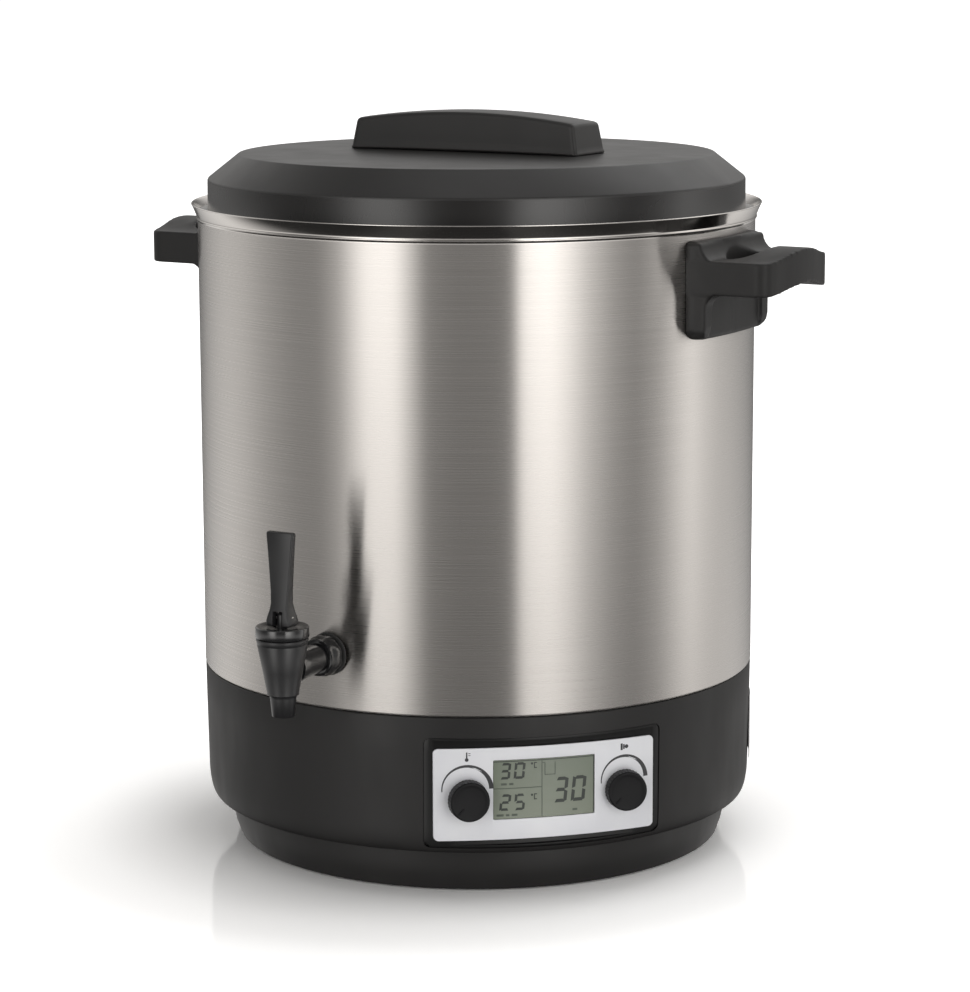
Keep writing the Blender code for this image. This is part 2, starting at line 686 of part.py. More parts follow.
def make_lid_handle():
    """Arched bar with drafted sides, hollow underneath between its two screw posts."""
    bm = bmesh.new()
    bmesh.ops.create_cube(bm, size=1.0)
    along = [e for e in bm.edges if abs(e.verts[0].co.x - e.verts[1].co.x) > 0.5]
    bmesh.ops.subdivide_edges(bm, edges=along, cuts=11, use_grid_fill=True)
    half_length, half_width = LID_HANDLE_LENGTH / 2, LID_HANDLE_WIDTH / 2
    for vert in bm.verts:
        share = vert.co.x * 2
        top = vert.co.z > 0
        vert.co.x = share * (half_length - (0.0040 if top else 0.0))
        vert.co.y = math.copysign(half_width - (0.0024 if top else 0.0), vert.co.y)
        crown = LID_HANDLE_TOP - (LID_HANDLE_TOP - LID_HANDLE_END) * share ** 2
        vert.co.z = (crown if top else LID_HANDLE_BASE) - LID_HANDLE_BASE
    handle = place(finish("lid_handle", bm, black_plastic()), location=(0, 0, LID_HANDLE_BASE))
    round_edges(handle, 0.0026, segments=2, angle=50)
    pocket = box("lid_handle_pocket", (0.096, 0.030, 0.030), black_plastic(), parent=handle,
                 location=(0, 0, 0.0010))
    combine(handle, pocket)
    for i, x in enumerate((-LID_SCREW_X, LID_SCREW_X)):
        combine(handle, rod(f"lid_handle_bore_{i}", 0.0024, (x, 0, -0.01), (x, 0, 0.0120),
                            black_plastic(), sides=12, parent=handle))


def make_lid_screws():
    profile = [(0, 0.0145), (0.0008, 0.0145), (0.0020, 0.0130), (0.0020, 0), (0.0038, 0),
               (0.0038, -0.0010), (0.0026, -0.0022), (0, -0.0022)]
    for name, x in (("left", -LID_SCREW_X), ("right", LID_SCREW_X)):
        turned(f"lid_screw_{name}", profile, zinc(), steps=12, closed=False,
               location=(x, 0, LID_SCREW_Z))


# ---- drain tap ----
def make_tap_body():
    z0 = TAP_PIPE_Z
    profile = [(0.0121, 0.1636), (0.0150, 0.1636), (0.0152, 0.1626), (0.0092, 0.1306),
               (0.0081, 0.1298), (0.0078, 0.1290), (0.0066, 0.1172), (0.0046, 0.1172),
               (0.0042, 0.1380), (0.0074, 0.1400)]
    body = turned("tap_body", profile, tap_plastic(), steps=32, location=(0, TAP_Y, 0))
    combine(body, rod("tap_shank", 0.0080, (0, 0.0095, z0), (0, 0.0700, z0), tap_plastic(),
                      sides=24, parent=body), "UNION")
    combine(body, rod("tap_bore", 0.0055, (0, 0.0060, z0), (0, 0.0800, z0), tap_plastic(),
                      sides=16, parent=body))
    return body


def make_tap_bonnet():
    profile = [(0.0033, BONNET_TOP), (0.0148, BONNET_TOP), (0.0155, 0.1697), (0.0156, 0.1640),
               (0.0118, 0.1640), (0.0118, 0.1676), (0.0033, 0.1676)]
    turned("tap_bonnet", profile, tap_plastic(), steps=32, location=(0, TAP_Y, 0))


def make_tap_stem():
    stem = [(0, 0.1785), (0.0018, 0.1783), (0.0029, 0.1770), (0.0029, 0.1504), (0.0066, 0.1504),
            (0.0066, 0.1486), (0.0020, 0.1486), (0.0020, 0.1424), (0, 0.1424)]
    rod_piece = turned("tap_stem", stem, tap_plastic(), steps=16, closed=False,
                       location=(0, TAP_Y, 0))
    combine(rod_piece, rod("stem_eye_cutter", 0.0013, (-0.01, 0, PIN_Z), (0.01, 0, PIN_Z),
                           tap_plastic(), sides=10, parent=rod_piece))
    cup = [(0, 0.1421), (0.0023, 0.1421), (0.0023, 0.1483), (0.0060, 0.1483), (0.0062, 0.1440),
           (0.0046, 0.1404), (0, 0.1404)]
    turned("tap_seal_cup", cup, silicone(), steps=16, closed=False, location=(0, TAP_Y, 0))
    low, high, wire = 0.1507 + 0.0006, 0.1673 - 0.0006, 0.0005
    turns, each = 4, 10
    coil = []
    for i in range(turns * each + 1):
        share = i / (turns * each)
        angle = 2 * math.pi * turns * share
        coil.append((0.0050 * math.cos(angle), 0.0050 * math.sin(angle),
                     low + (high - low) * share))
    tube("tap_spring", coil, wire, steel(), sides=6, location=(0, TAP_Y, 0))


def make_tap_lever():
    """Forked paddle that tilts on a pin through the stem's eye."""
    foot = BONNET_TOP + GAP
    levels = [(foot - PIN_Z, 0.0070, 0.0042), (foot + 0.0010 - PIN_Z, 0.0080, 0.0052),
              (0.1740 - PIN_Z, 0.0079, 0.0052), (0.1800 - PIN_Z, 0.0060, 0.0048),
              (0.1840 - PIN_Z, 0.0057, 0.0036), (0.2000 - PIN_Z, 0.0067, 0.0026),
              (LEVER_TOP - 0.0008 - PIN_Z, 0.0090, 0.0022), (LEVER_TOP - PIN_Z, 0.0086, 0.0017)]
    lever = levels_box("tap_lever", levels, tap_plastic(), location=(0, TAP_Y, PIN_Z))
    slot = box("lever_slot_cutter", (0.0066, 0.020, 0.012), tap_plastic(), parent=lever,
               location=(0, 0, 0.0043 - 0.006))
    combine(lever, slot)
    combine(lever, rod("lever_pin_cutter", 0.0014, (-0.012, 0, 0), (0.012, 0, 0), tap_plastic(),
                       sides=12, parent=lever))
    rod("tap_lever_pin", 0.0011, (-0.0074, 0, 0), (0.0074, 0, 0), zinc(), sides=12,
        location=(0, TAP_Y, PIN_Z))


def ring(name, radius, bore, front, back, mat, steps):
    """Washer or nut on the tap's shank, between two distances in front of the pot's axis."""
    depth = front - back
    edge = min(0.0006, depth / 4)
    profile = [(bore, depth), (radius - edge, depth), (radius, depth - edge), (radius, edge),
               (radius - edge, 0), (bore, 0)]
    turned(name, profile, mat, steps=steps, location=(0, -back, TAP_PIPE_Z),
           rotation=(math.pi / 2, 0, 0))


def make_tap_fixings():
    ring("tap_outer_nut", 0.0122, 0.0083, 0.1866, 0.1753, tap_plastic(), 24)
    ring("tap_outer_washer", 0.0128, 0.0083, 0.1750, 0.1728, silicone(), 24)
    ring("tap_inner_washer", 0.0125, 0.0083, 0.1707, 0.1687, silicone(), 24)
    ring("tap_inner_nut", 0.0130, 0.0097, 0.1684, 0.1624, tap_plastic(), 6)


def main():
    clear_scene()
    make_collections()
    make_panel_axis()
    make_pot_wall()
    make_pot_floor()
    make_base_housing()
    make_base_tray()
    make_feet_and_screws()
    make_cable_gland()
    make_rating_plate()
    make_panel_frame()
    make_panel_bezel()
    make_display()
    make_knobs()
    make_heater()
    make_power_board()
    make_side_handle("side_handle_right", 0.0)
    make_side_handle("side_handle_left", math.pi)
    make_handle_screws()
    make_lid()
    make_lid_handle()
    make_lid_screws()
    make_tap_body()
    make_tap_bonnet()
    make_tap_stem()
    make_tap_lever()
    make_tap_fixings()


main()
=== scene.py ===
"""Looks of the yogurt maker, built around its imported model: fine meshes, materials, studio."""
import json
import math

import bmesh
import bpy
from mathutils import Matrix, Vector

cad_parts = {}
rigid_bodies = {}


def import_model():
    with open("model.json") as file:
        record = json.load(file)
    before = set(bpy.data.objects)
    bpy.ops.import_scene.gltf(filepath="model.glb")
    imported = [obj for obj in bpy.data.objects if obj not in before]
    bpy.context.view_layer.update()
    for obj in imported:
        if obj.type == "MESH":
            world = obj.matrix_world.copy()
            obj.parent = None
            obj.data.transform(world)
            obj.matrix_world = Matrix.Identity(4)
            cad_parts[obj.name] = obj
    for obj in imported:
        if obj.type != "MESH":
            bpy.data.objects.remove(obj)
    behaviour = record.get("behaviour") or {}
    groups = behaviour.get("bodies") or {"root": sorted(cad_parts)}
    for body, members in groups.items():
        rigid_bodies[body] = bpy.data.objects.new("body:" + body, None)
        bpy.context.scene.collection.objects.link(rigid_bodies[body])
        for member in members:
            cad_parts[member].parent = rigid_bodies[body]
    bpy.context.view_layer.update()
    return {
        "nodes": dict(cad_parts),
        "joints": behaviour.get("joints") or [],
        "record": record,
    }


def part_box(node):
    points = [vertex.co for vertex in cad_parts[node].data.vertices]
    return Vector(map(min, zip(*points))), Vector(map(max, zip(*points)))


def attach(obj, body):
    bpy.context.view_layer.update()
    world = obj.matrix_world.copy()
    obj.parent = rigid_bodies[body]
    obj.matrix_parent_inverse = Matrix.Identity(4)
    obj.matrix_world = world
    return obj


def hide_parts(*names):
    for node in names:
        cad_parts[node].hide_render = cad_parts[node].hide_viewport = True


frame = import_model()
LINKED = bpy.context.scene.collection.objects

BODY = "cooker"
POT_NODES = ["pot_wall", "pot_floor"]


def corners(node):
    return [Vector(corner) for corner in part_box(node)]


def centre_of(node):
    return sum(corners(node), Vector()) / 2


POT_LOW, POT_HIGH = corners(POT_NODES[0])
AXIS = Vector(((POT_LOW.x + POT_HIGH.x) / 2, (POT_LOW.y + POT_HIGH.y) / 2, 0))
RIM_RADIUS = (POT_HIGH.x - POT_LOW.x) / 2
RIM_Z = POT_HIGH.z
POT_RADIUS = RIM_RADIUS - 0.0039
POT_INSIDE = POT_RADIUS - 0.0010
FLOOR_CORNER = 0.0055         # radius where the pot's floor meets its wall
JOINTS = {joint["name"]: joint for joint in frame["joints"]}
FINE = 192                    # sides of the large turned pieces
GAP = 0.0003                  # between pieces that touch
UPRIGHT = math.pi / 2


# ------------------------------------------------------------------ builders
def add(thing, mat, body=BODY, replaces=(), at=None):
    """Link a new piece, move it to the pot's axis or to a matrix, and tie it to its body."""
    LINKED.link(thing)
    thing.matrix_world = at if at is not None else Matrix.Translation(AXIS)
    thing.data.materials.clear()
    thing.data.materials.append(mat)
    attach(thing, body)
    if replaces:
        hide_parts(*replaces)
    return thing


def shade(mesh, smooth):
    """Smooth shading, with edges sharper than an angle in degrees kept crisp."""
    mesh.shade_smooth()
    mesh.set_sharp_from_angle(angle=math.radians(smooth))
    return mesh


def mesh_object(name, bm, smooth=35.0):
    mesh = bpy.data.meshes.new(name)
    bmesh.ops.recalc_face_normals(bm, faces=bm.faces)
    bm.to_mesh(mesh)
    bm.free()
    return bpy.data.objects.new(name, shade(mesh, smooth))


def lying(x, y, z, turn=UPRIGHT):
    """Place for a turned piece whose axis lies along Y."""
    return Matrix.Translation((x, y, z)) @ Matrix.Rotation(turn, 4, "X")


def arc(cx, cy, radius, start, end, count):
    """Points on an arc, both ends included, angles in degrees."""
    angles = [math.radians(start + (end - start) * i / count) for i in range(count + 1)]
    return [(cx + radius * math.cos(a), cy + radius * math.sin(a)) for a in angles]


def turned_mesh(profile, steps=FINE):
    """bmesh of a solid of revolution about Z; its (radius, z) points go round or end on Z."""
    bm = bmesh.new()
    rings = []
    for radius, z in profile:
        if radius < 1e-7:
            rings.append([bm.verts.new((0, 0, z))])
            continue
        rings.append([bm.verts.new((radius * math.cos(2 * math.pi * i / steps),
                                    radius * math.sin(2 * math.pi * i / steps), z))
                      for i in range(steps)])
    for upper, lower in zip(rings, rings[1:] + rings[:1]):
        for i in range(steps):
            j = (i + 1) % steps
            quad = [upper[i % len(upper)], lower[i % len(lower)],
                    lower[j % len(lower)], upper[j % len(upper)]]
            unique = list(dict.fromkeys(quad))
            if len(unique) > 2:
                bm.faces.new(unique)
    return bm


def turned(name, profile, steps=FINE, smooth=35.0):
    return mesh_object(name, turned_mesh(profile, steps), smooth)


def cylinder(name, radius, low, high, steps):
    return turned(name, [(0, high), (radius, high), (radius, low), (0, low)], steps)


def prism_mesh(loop, low, high, bm=None):
    """bmesh of an outline in XY, from z = low to z = high, added to another if one is given."""
    bm = bm or bmesh.new()
    bottom = [bm.verts.new((x, y, low)) for x, y in loop]
    top = [bm.verts.new((x, y, high)) for x, y in loop]
    bm.faces.new(bottom[::-1])
    bm.faces.new(top)
    for i in range(len(loop)):
        j = (i + 1) % len(loop)
        bm.faces.new((bottom[i], bottom[j], top[j], top[i]))
    return bm


def prism(name, loop, low, high):
    return mesh_object(name, prism_mesh(loop, low, high))


def rounded_rectangle(cx, cy, width, height, radius, count=6):
    x, y = width / 2 - radius, height / 2 - radius
    return (arc(cx + x, cy + y, radius, 0, 90, count) + arc(cx - x, cy + y, radius, 90, 180, count)
            + arc(cx - x, cy - y, radius, 180, 270, count)
            + arc(cx + x, cy - y, radius, 270, 360, count))


def bevel(thing, width, segments, angle):
    step = thing.modifiers.new("round", "BEVEL")
    step.width = width
    step.segments = segments
    step.limit_method = "ANGLE"
    step.angle_limit = math.radians(angle)
    return thing


def combine(thing, *others, operation="DIFFERENCE"):
    """Apply a Boolean with each other object, in thing's own space, and remove the others."""
    for other in others:
        for each in (thing, other):
            if each.name not in LINKED:
                LINKED.link(each)
        step = thing.modifiers.new("shape", "BOOLEAN")
        step.operation = operation
        step.solver = "EXACT"
        step.object = other
        bake(thing)
        bpy.data.objects.remove(other)
    LINKED.unlink(thing)
    return thing


def bake(thing, smooth=35.0):
    """Replace the mesh by what its modifiers make of it."""
    linked = thing.name in LINKED
    if not linked:
        LINKED.link(thing)
    depsgraph = bpy.context.evaluated_depsgraph_get()
    mesh = bpy.data.meshes.new_from_object(thing.evaluated_get(depsgraph))
    thing.modifiers.clear()
    thing.data = shade(mesh, smooth)
    if not linked:
        LINKED.unlink(thing)
    return thing


def smooth_remesh(thing, voxel, passes):
    """Fuse and soften a moulded piece: voxel remesh, then smoothing."""
    step = thing.modifiers.new("fuse", "REMESH")
    step.mode = "VOXEL"
    step.voxel_size = voxel
    soft = thing.modifiers.new("soften", "SMOOTH")
    soft.factor = 0.5
    soft.iterations = passes
    return bake(thing, 180.0)


def slice_across(bm, axis, low, high, count):
    """Cut a bmesh across one axis at even steps, so that it can bend there."""
    for i in range(1, count):
        spot = [0, 0, 0]
        spot[axis] = low + (high - low) * i / count
        normal = [0, 0, 0]
        normal[axis] = 1
        bmesh.ops.bisect_plane(bm, geom=bm.verts[:] + bm.edges[:] + bm.faces[:],
                               plane_co=spot, plane_no=normal)


def dent_side(bm, beyond, below, depth, count):
    """Press count soft hollows into the side of a turned bmesh, below a height."""
    for vert in bm.verts:
        reach = math.hypot(vert.co.x, vert.co.y)
        if reach > beyond and vert.co.z < below:
            turn = math.atan2(vert.co.y, vert.co.x)
            dip = depth * (0.5 + 0.5 * math.cos(count * turn))
            vert.co.x *= 1 - dip / reach
            vert.co.y *= 1 - dip / reach


def smooth_step(value):
    value = min(max(value, 0.0), 1.0)
    return value * value * (3 - 2 * value)


# ------------------------------------------------------------------ materials
class Nodes:
    """Shorthand for building one procedural material."""

    def __init__(self, name, **inputs):
        self.mat = bpy.data.materials.new(name)
        self.mat.use_nodes = True
        self.tree = self.mat.node_tree
        self.shader = self.tree.nodes["Principled BSDF"]
        for key, value in inputs.items():
            self.shader.inputs[key.replace("_", " ")].default_value = value
        self.coords = self.node("ShaderNodeTexCoord").outputs["Object"]

    def node(self, kind, inputs=None, **settings):
        made = self.tree.nodes.new(kind)
        for key, value in settings.items():
            setattr(made, key, value)
        for key, value in (inputs or {}).items():
            made.inputs[key].default_value = value
        return made

    def link(self, source, target):
        self.tree.links.new(source, target)

    def mapped(self, scale):
        step = self.node("ShaderNodeMapping", {"Scale": scale})
        self.link(self.coords, step.inputs["Vector"])
        return step.outputs["Vector"]

    def noise(self, scale, detail=3.0, vector=None, roughness=0.5):
        step = self.node("ShaderNodeTexNoise",
                         {"Scale": scale, "Detail": detail, "Roughness": roughness})
        self.link(vector or self.coords, step.inputs["Vector"])
        return step.outputs["Fac"]

    def spread(self, source, low, high, start=0.3, end=0.7):
        """Map a noise from start..end to low..high."""
        step = self.node("ShaderNodeMapRange", {"From Min": start, "From Max": end,
                                                "To Min": low, "To Max": high})
        self.link(source, step.inputs["Value"])
        return step.outputs["Result"]

    def height(self):
        split = self.node("ShaderNodeSeparateXYZ")
        self.link(self.coords, split.inputs["Vector"])
        return split.outputs["Z"]

    def above(self, level, below_value, above_value):
        """One value under a height of the object and another one over it."""
        return self.spread(self.height(), below_value, above_value, level - 0.0004,
                           level + 0.0004)

    def scaled(self, value, factor):
        step = self.node("ShaderNodeMath", operation="MULTIPLY")
        self.link(value, step.inputs[0])
        self.link(factor, step.inputs[1])
        return step.outputs["Value"]

    def mix_color(self, factor, first, second):
        step = self.node("ShaderNodeMix", {"A": (*first, 1), "B": (*second, 1)},
                         data_type="RGBA")
        self.link(factor, step.inputs["Factor"])
        return step.outputs["Result"]

    def color(self, source):
        self.link(source, self.shader.inputs["Base Color"])
        return self

    def roughness(self, source):
        self.link(source, self.shader.inputs["Roughness"])
        return self

    def bump(self, height, strength, distance):
        step = self.node("ShaderNodeBump", {"Strength": strength, "Distance": distance})
        self.link(height, step.inputs["Height"])
        self.link(step.outputs["Normal"], self.shader.inputs["Normal"])
        return self


def moulded_plastic(name, dark, light, low, high, grain=1800.0, strength=0.35, specular=0.5,
                    smooth_below=None):
    """Injection-moulded plastic: fine spark-eroded grain, faint mottling and uneven gloss."""
    made = Nodes(name, Specular_IOR_Level=specular)
    mottle = made.noise(14.0, 4.0)
    made.color(made.mix_color(made.spread(mottle, 0, 1), dark, light))
    wiped = made.noise(38.0, 3.0, made.mapped((1, 1, 0.35)))
    rough = made.spread(wiped, low, high)
    if smooth_below is not None:
        rough = made.scaled(rough, made.above(smooth_below, 0.62, 1.0))
    made.roughness(rough)
    return made.bump(made.noise(grain, 2.0), strength, 0.00004).mat


def brushed_steel(name, dark, light, low, high, polished_above):
    """Steel brushed around its axis, with fine lines; its rolled rim is polished."""
    made = Nodes(name, Metallic=1.0, Anisotropic_Rotation=0.25)
    made.link(made.above(polished_above, 1.0, 0.0), made.shader.inputs["Anisotropic"])
    tangent = made.node("ShaderNodeTangent", direction_type="RADIAL", axis="Z")
    made.link(tangent.outputs["Tangent"], made.shader.inputs["Tangent"])
    lines = made.noise(1.0, 6.0, made.mapped((6, 6, 2400)), 0.7)
    streaks = made.scaled(made.spread(lines, 0.86, 1.0), made.spread(made.noise(5.0), 0.85, 1.0))
    made.color(made.mix_color(streaks, dark, light))
    rough = made.spread(lines, low, high)
    made.roughness(made.scaled(rough, made.above(polished_above, 1.0, 0.5)))
    return made.bump(lines, 0.015, 0.00002).mat


def plain_grained(name, dark, light, low, high, scale=60.0, metallic=0.0, grain=900.0,
                  strength=0.15):
    """Even finish with faint cloudiness and a very fine grain."""
    made = Nodes(name, Metallic=metallic)
    made.color(made.mix_color(made.spread(made.noise(scale, 4.0), 0, 1), dark, light))
    made.roughness(made.spread(made.noise(scale * 2.3, 3.0), low, high))
    return made.bump(made.noise(grain, 2.0), strength, 0.00003).mat


def display_face():
    """Grey-green liquid crystal face, slightly lighter towards its lower edge."""
    made = Nodes("display_face", Coat_Weight=0.6, Coat_Roughness=0.08)
    height = made.spread(made.height(), 1.0, 0.0, DISPLAY_LOW, DISPLAY_HIGH)
    made.color(made.mix_color(height, (0.102, 0.130, 0.085), (0.145, 0.172, 0.118)))
    made.roughness(made.spread(made.noise(300.0, 2.0), 0.30, 0.42))
    return made.bump(made.noise(2500.0, 1.0), 0.05, 0.00002).mat


DISPLAY_LOW, DISPLAY_HIGH = (corner.z for corner in corners("lcd_lens"))
STEEL = brushed_steel("brushed_steel", (0.54, 0.511, 0.484), (0.66, 0.632, 0.605), 0.25, 0.32,
                      RIM_Z - 0.0108)
ZINC = plain_grained("zinc_plate", (0.50, 0.50, 0.47), (0.66, 0.66, 0.64), 0.22, 0.36,
                     metallic=1.0, scale=180.0)
WIRE = plain_grained("spring_wire", (0.45, 0.45, 0.45), (0.6, 0.6, 0.6), 0.25, 0.35,
                     metallic=1.0, scale=400.0)
ALUMINIUM = plain_grained("rolled_aluminium", (0.68, 0.68, 0.69), (0.80, 0.80, 0.80), 0.32, 0.45,
                          metallic=1.0, scale=90.0)
BLACK = moulded_plastic("satin_black", (0.014, 0.0135, 0.0135), (0.018, 0.0172, 0.017), 0.42,
                        0.52, specular=0.30)
LID_BLACK = moulded_plastic("lid_black", (0.015, 0.0142, 0.014), (0.018, 0.0172, 0.0167), 0.40,
                            0.46, grain=1500.0, strength=0.2, specular=0.55,
                            smooth_below=0.4120)
BAR_BLACK = moulded_plastic("bar_black", (0.016, 0.0152, 0.015), (0.020, 0.0190, 0.0185), 0.38,
                            0.46, strength=0.2, specular=0.45)
# panel tray black, darker than the housing's; part of the darkness is painted shade for the recess
# round the bezel
PANEL_BLACK_AND_RECESS_SHADE = moulded_plastic("panel_black_and_recess_shade", (0.008, 0.008, 0.008), (0.011, 0.011, 0.011), 0.30, 0.38,
                        strength=0.15, specular=0.25)
TAP_BLACK = moulded_plastic("tap_black", (0.014, 0.014, 0.015), (0.020, 0.020, 0.021), 0.30,
                            0.40, strength=0.2)
TAP_GLOSS = moulded_plastic("tap_gloss", (0.014, 0.014, 0.015), (0.020, 0.020, 0.021), 0.10,
                            0.16, strength=0.08, specular=0.8)
KNOB_BLACK = moulded_plastic("knob_black", (0.007, 0.007, 0.008), (0.010, 0.010, 0.011), 0.38,
                             0.48, strength=0.2, specular=0.15)
RUBBER = plain_grained("foot_rubber", (0.020, 0.020, 0.020), (0.034, 0.034, 0.033), 0.75, 0.9,
                       strength=0.4)
SILICONE = plain_grained("white_silicone", (0.66, 0.64, 0.60), (0.76, 0.74, 0.70), 0.45, 0.6)
BOARD = plain_grained("solder_mask", (0.015, 0.12, 0.045), (0.03, 0.17, 0.07), 0.35, 0.5,
                      scale=400.0)
COMPONENT = plain_grained("component_body", (0.035, 0.035, 0.04), (0.06, 0.06, 0.065), 0.4, 0.55)
BEZEL = plain_grained("silver_white", (0.73, 0.74, 0.78), (0.78, 0.79, 0.82), 0.30, 0.40,
                      scale=40.0, grain=2200.0, strength=0.12)
PRINT = plain_grained("printed_ink", (0.030, 0.030, 0.034), (0.045, 0.045, 0.05), 0.45, 0.55)
SEGMENT = plain_grained("display_segment", (0.012, 0.018, 0.012), (0.020, 0.027, 0.020), 0.35,
                        0.45)
GHOST = plain_grained("display_line", (0.050, 0.066, 0.046), (0.062, 0.078, 0.056), 0.35, 0.45)
LABEL = plain_grained("blank_label", (0.42, 0.42, 0.42), (0.50, 0.50, 0.50), 0.35, 0.5)

CARRIED_OVER = {
    "zinc_steel": ZINC, "spring_steel": WIRE, "aluminium": ALUMINIUM, "black_plastic": BLACK,
    "panel_plastic": PANEL_BLACK_AND_RECESS_SHADE, "knob_plastic": KNOB_BLACK, "tap_plastic": TAP_BLACK,
    "rubber": RUBBER, "silicone": SILICONE, "circuit_board": BOARD,
    "component_plastic": COMPONENT, "bezel_paint": BEZEL, "rating_label": LABEL,
    "stainless_steel": STEEL, "display_lens": COMPONENT,
}


def dress_cad_nodes():
    """Give every carried-over CAD node the finish of its slot."""
    slots = {part["node"]: part["material_slot"] for part in frame["record"]["subparts"]}
    for node, thing in frame["nodes"].items():
        thing.data.materials.clear()
        thing.data.materials.append(CARRIED_OVER[slots[node]])


# ------------------------------------------------------------------ pot
def make_pot():
    """Steel wall with its rolled, flared rim, the ledge under it and the pot's floor."""
    low = POT_LOW.z
    floor = low + 0.0059
    profile = arc(RIM_RADIUS - 0.0004, RIM_Z - 0.0004, 0.0004, 150, -30, 10)
    profile += [(0.1761, RIM_Z - 0.0010), (0.1746, RIM_Z - 0.0043), (0.17345, RIM_Z - 0.0072),
                (0.1732, RIM_Z - 0.0080)]
    profile += arc(0.1729, RIM_Z - 0.0090, 0.0006, 60, -60, 5)
    profile += [(POT_RADIUS + 0.0001, RIM_Z - 0.0102), (POT_RADIUS, RIM_Z - 0.0106)]
    profile += [(POT_RADIUS, low + 0.0012), (POT_RADIUS - 0.0003, low + 0.0005),
                (POT_RADIUS - 0.0008, low), (0.1710, low), (0.1713, floor - 0.0013)]
    flat = POT_INSIDE - FLOOR_CORNER
    profile += [(0.169, floor - 0.001), (0, floor - 0.001), (0, floor), (flat, floor)]
    profile += arc(flat, floor + FLOOR_CORNER, FLOOR_CORNER, -80, 0, 6)
    profile += [(POT_INSIDE, RIM_Z - 0.0100), (0.1722, RIM_Z - 0.0080), (0.1736, RIM_Z - 0.0044),
                (0.1749, RIM_Z - 0.0014)]
    add(turned("pot_steel", profile, smooth=50), STEEL,
        replaces=POT_NODES)


# ------------------------------------------------------------------ base
HOUSING_LOW, HOUSING_HIGH = corners("base_housing")
TRAY_TOP = corners("base_tray")[1].z
HOUSING_RADIUS = (HOUSING_HIGH.x - HOUSING_LOW.x) / 2
HOUSING_LIP = POT_LOW.z - GAP
FOOT_RING = 0.132


def housing_outer():
    """Outside of the housing, from its lip down to its underside."""
    low, bend, depth = HOUSING_LOW.z, 0.046, 0.018
    turned_under = [(0.1674 + 0.0038 * math.cos(math.radians(angle)),
                     bend + depth * math.sin(math.radians(angle))) for angle in range(0, -91, -10)]
    assert abs(bend - depth - low) < 0.0005
    return ([(HOUSING_RADIUS - 0.0012, HOUSING_LIP)]
            + arc(HOUSING_RADIUS - 0.0010, HOUSING_LIP - 0.0011, 0.0010, 85, 5, 4)
            + [(HOUSING_RADIUS - 0.0003, 0.088)] + turned_under)


def make_base():
    """Housing with its openings, and the tray under it with a post for each foot."""
    profile = housing_outer()
    profile += [(0.138, HOUSING_LOW.z), (0.138, 0.0305), (0.1640, 0.0305), (0.1670, 0.036),
                (0.1686, 0.046), (0.1695, 0.1052), (0.1660, 0.1080), (0.1660, 0.1146),
                (0.1706, 0.1146), (0.1706, HOUSING_LIP)]
    housing = turned("housing_shell", profile)
    opening = panel_prism("opening", 0.1446, 0.0671, 0.0043, 0.150, 0.190, 0, FRAME_Z)
    gland = cylinder("gland_hole", 0.0073, 0.15, 0.19, 24)
    gland.matrix_world = lying(0, 0, centre_of("cable_gland").z, -UPRIGHT)
    combine(housing, opening, gland)
    add(housing, BLACK, replaces=["base_housing"])

    tray = [(0, TRAY_TOP), (0.1567, TRAY_TOP)]
    tray += arc(0.1558, TRAY_TOP - 0.0012, 0.0012, 60, 0, 3)
    tray += [(0.1568, 0.0215), (0.1562, 0.0150), (0.1549, 0.0090), (0.1530, 0.0036)]
    tray += arc(0.1512, 0.0024, 0.0014, -10, -90, 4)
    tray += [(0.1474, 0.0010), (0.1526, 0.0135), (0.1538, 0.0252), (0, 0.0252)]
    shell = turned("base_ring", tray)
    for i, (x, y) in enumerate(arc(0, 0, FOOT_RING, 45, 315, 3)):
        post = cylinder(f"post_{i}", 0.0095, 0.0033, 0.026, 32)
        post.matrix_world = Matrix.Translation((x, y, 0))
        combine(shell, post, operation="UNION")
    add(shell, BLACK, replaces=["base_tray"])


# ------------------------------------------------------------------ control panel
TEMPERATURE = JOINTS["temperature_turn"]
TIMER = JOINTS["timer_turn"]
OUT = Vector(TEMPERATURE["axis"]).normalized()
PANEL_TURN = math.atan2(OUT.x, -OUT.y)
PANEL_AT = Matrix.Translation(AXIS) @ Matrix.Rotation(PANEL_TURN, 4, "Z")
PANEL_CURVE = 0.285
PANEL_FRONT = 0.1675
PANEL_CENTRE = PANEL_CURVE - PANEL_FRONT
BEZEL_BACK = PANEL_CURVE - 0.0013
FRAME_FRONT = BEZEL_BACK - GAP
PANEL_Z, FRAME_Z = centre_of("panel_bezel").z, centre_of("panel_frame").z
BEZEL_WIDTH, BEZEL_HEIGHT = 0.1344, 0.0556
DISPLAY_X, DISPLAY_WIDTH = -0.0016, 0.0619
DISPLAY_Z = (DISPLAY_LOW + DISPLAY_HIGH) / 2
DISPLAY_HEIGHT = 0.0361
DISPLAY_FACE = PANEL_CURVE - 0.0005
KNOB_X, KNOB_Z = 0.0479, TEMPERATURE["pos_m"][2]
KNOB_RIBS = 36


def panel_prism(name, width, height, corner, near, far, x, z):
    """Prism along the panel's axis, in the pot's own space, not yet bent."""
    thing = prism(name, rounded_rectangle(0, 0, width, height, corner), near, far)
    turn = Matrix.Rotation(PANEL_TURN, 4, "Z") @ Matrix.Translation((x, 0, z))
    thing.data.transform(turn @ Matrix.Rotation(UPRIGHT, 4, "X"))
    return thing


def bend(bm, back, front):
    """Wrap a flat bmesh around the panel's curve, with a radius for each of its faces."""
    for vert in bm.verts:
        radius = front if vert.co.z > 0.5 else back
        depth = math.sqrt(radius ** 2 - vert.co.x ** 2) - PANEL_CENTRE
        vert.co = (vert.co.x, -depth, vert.co.y)


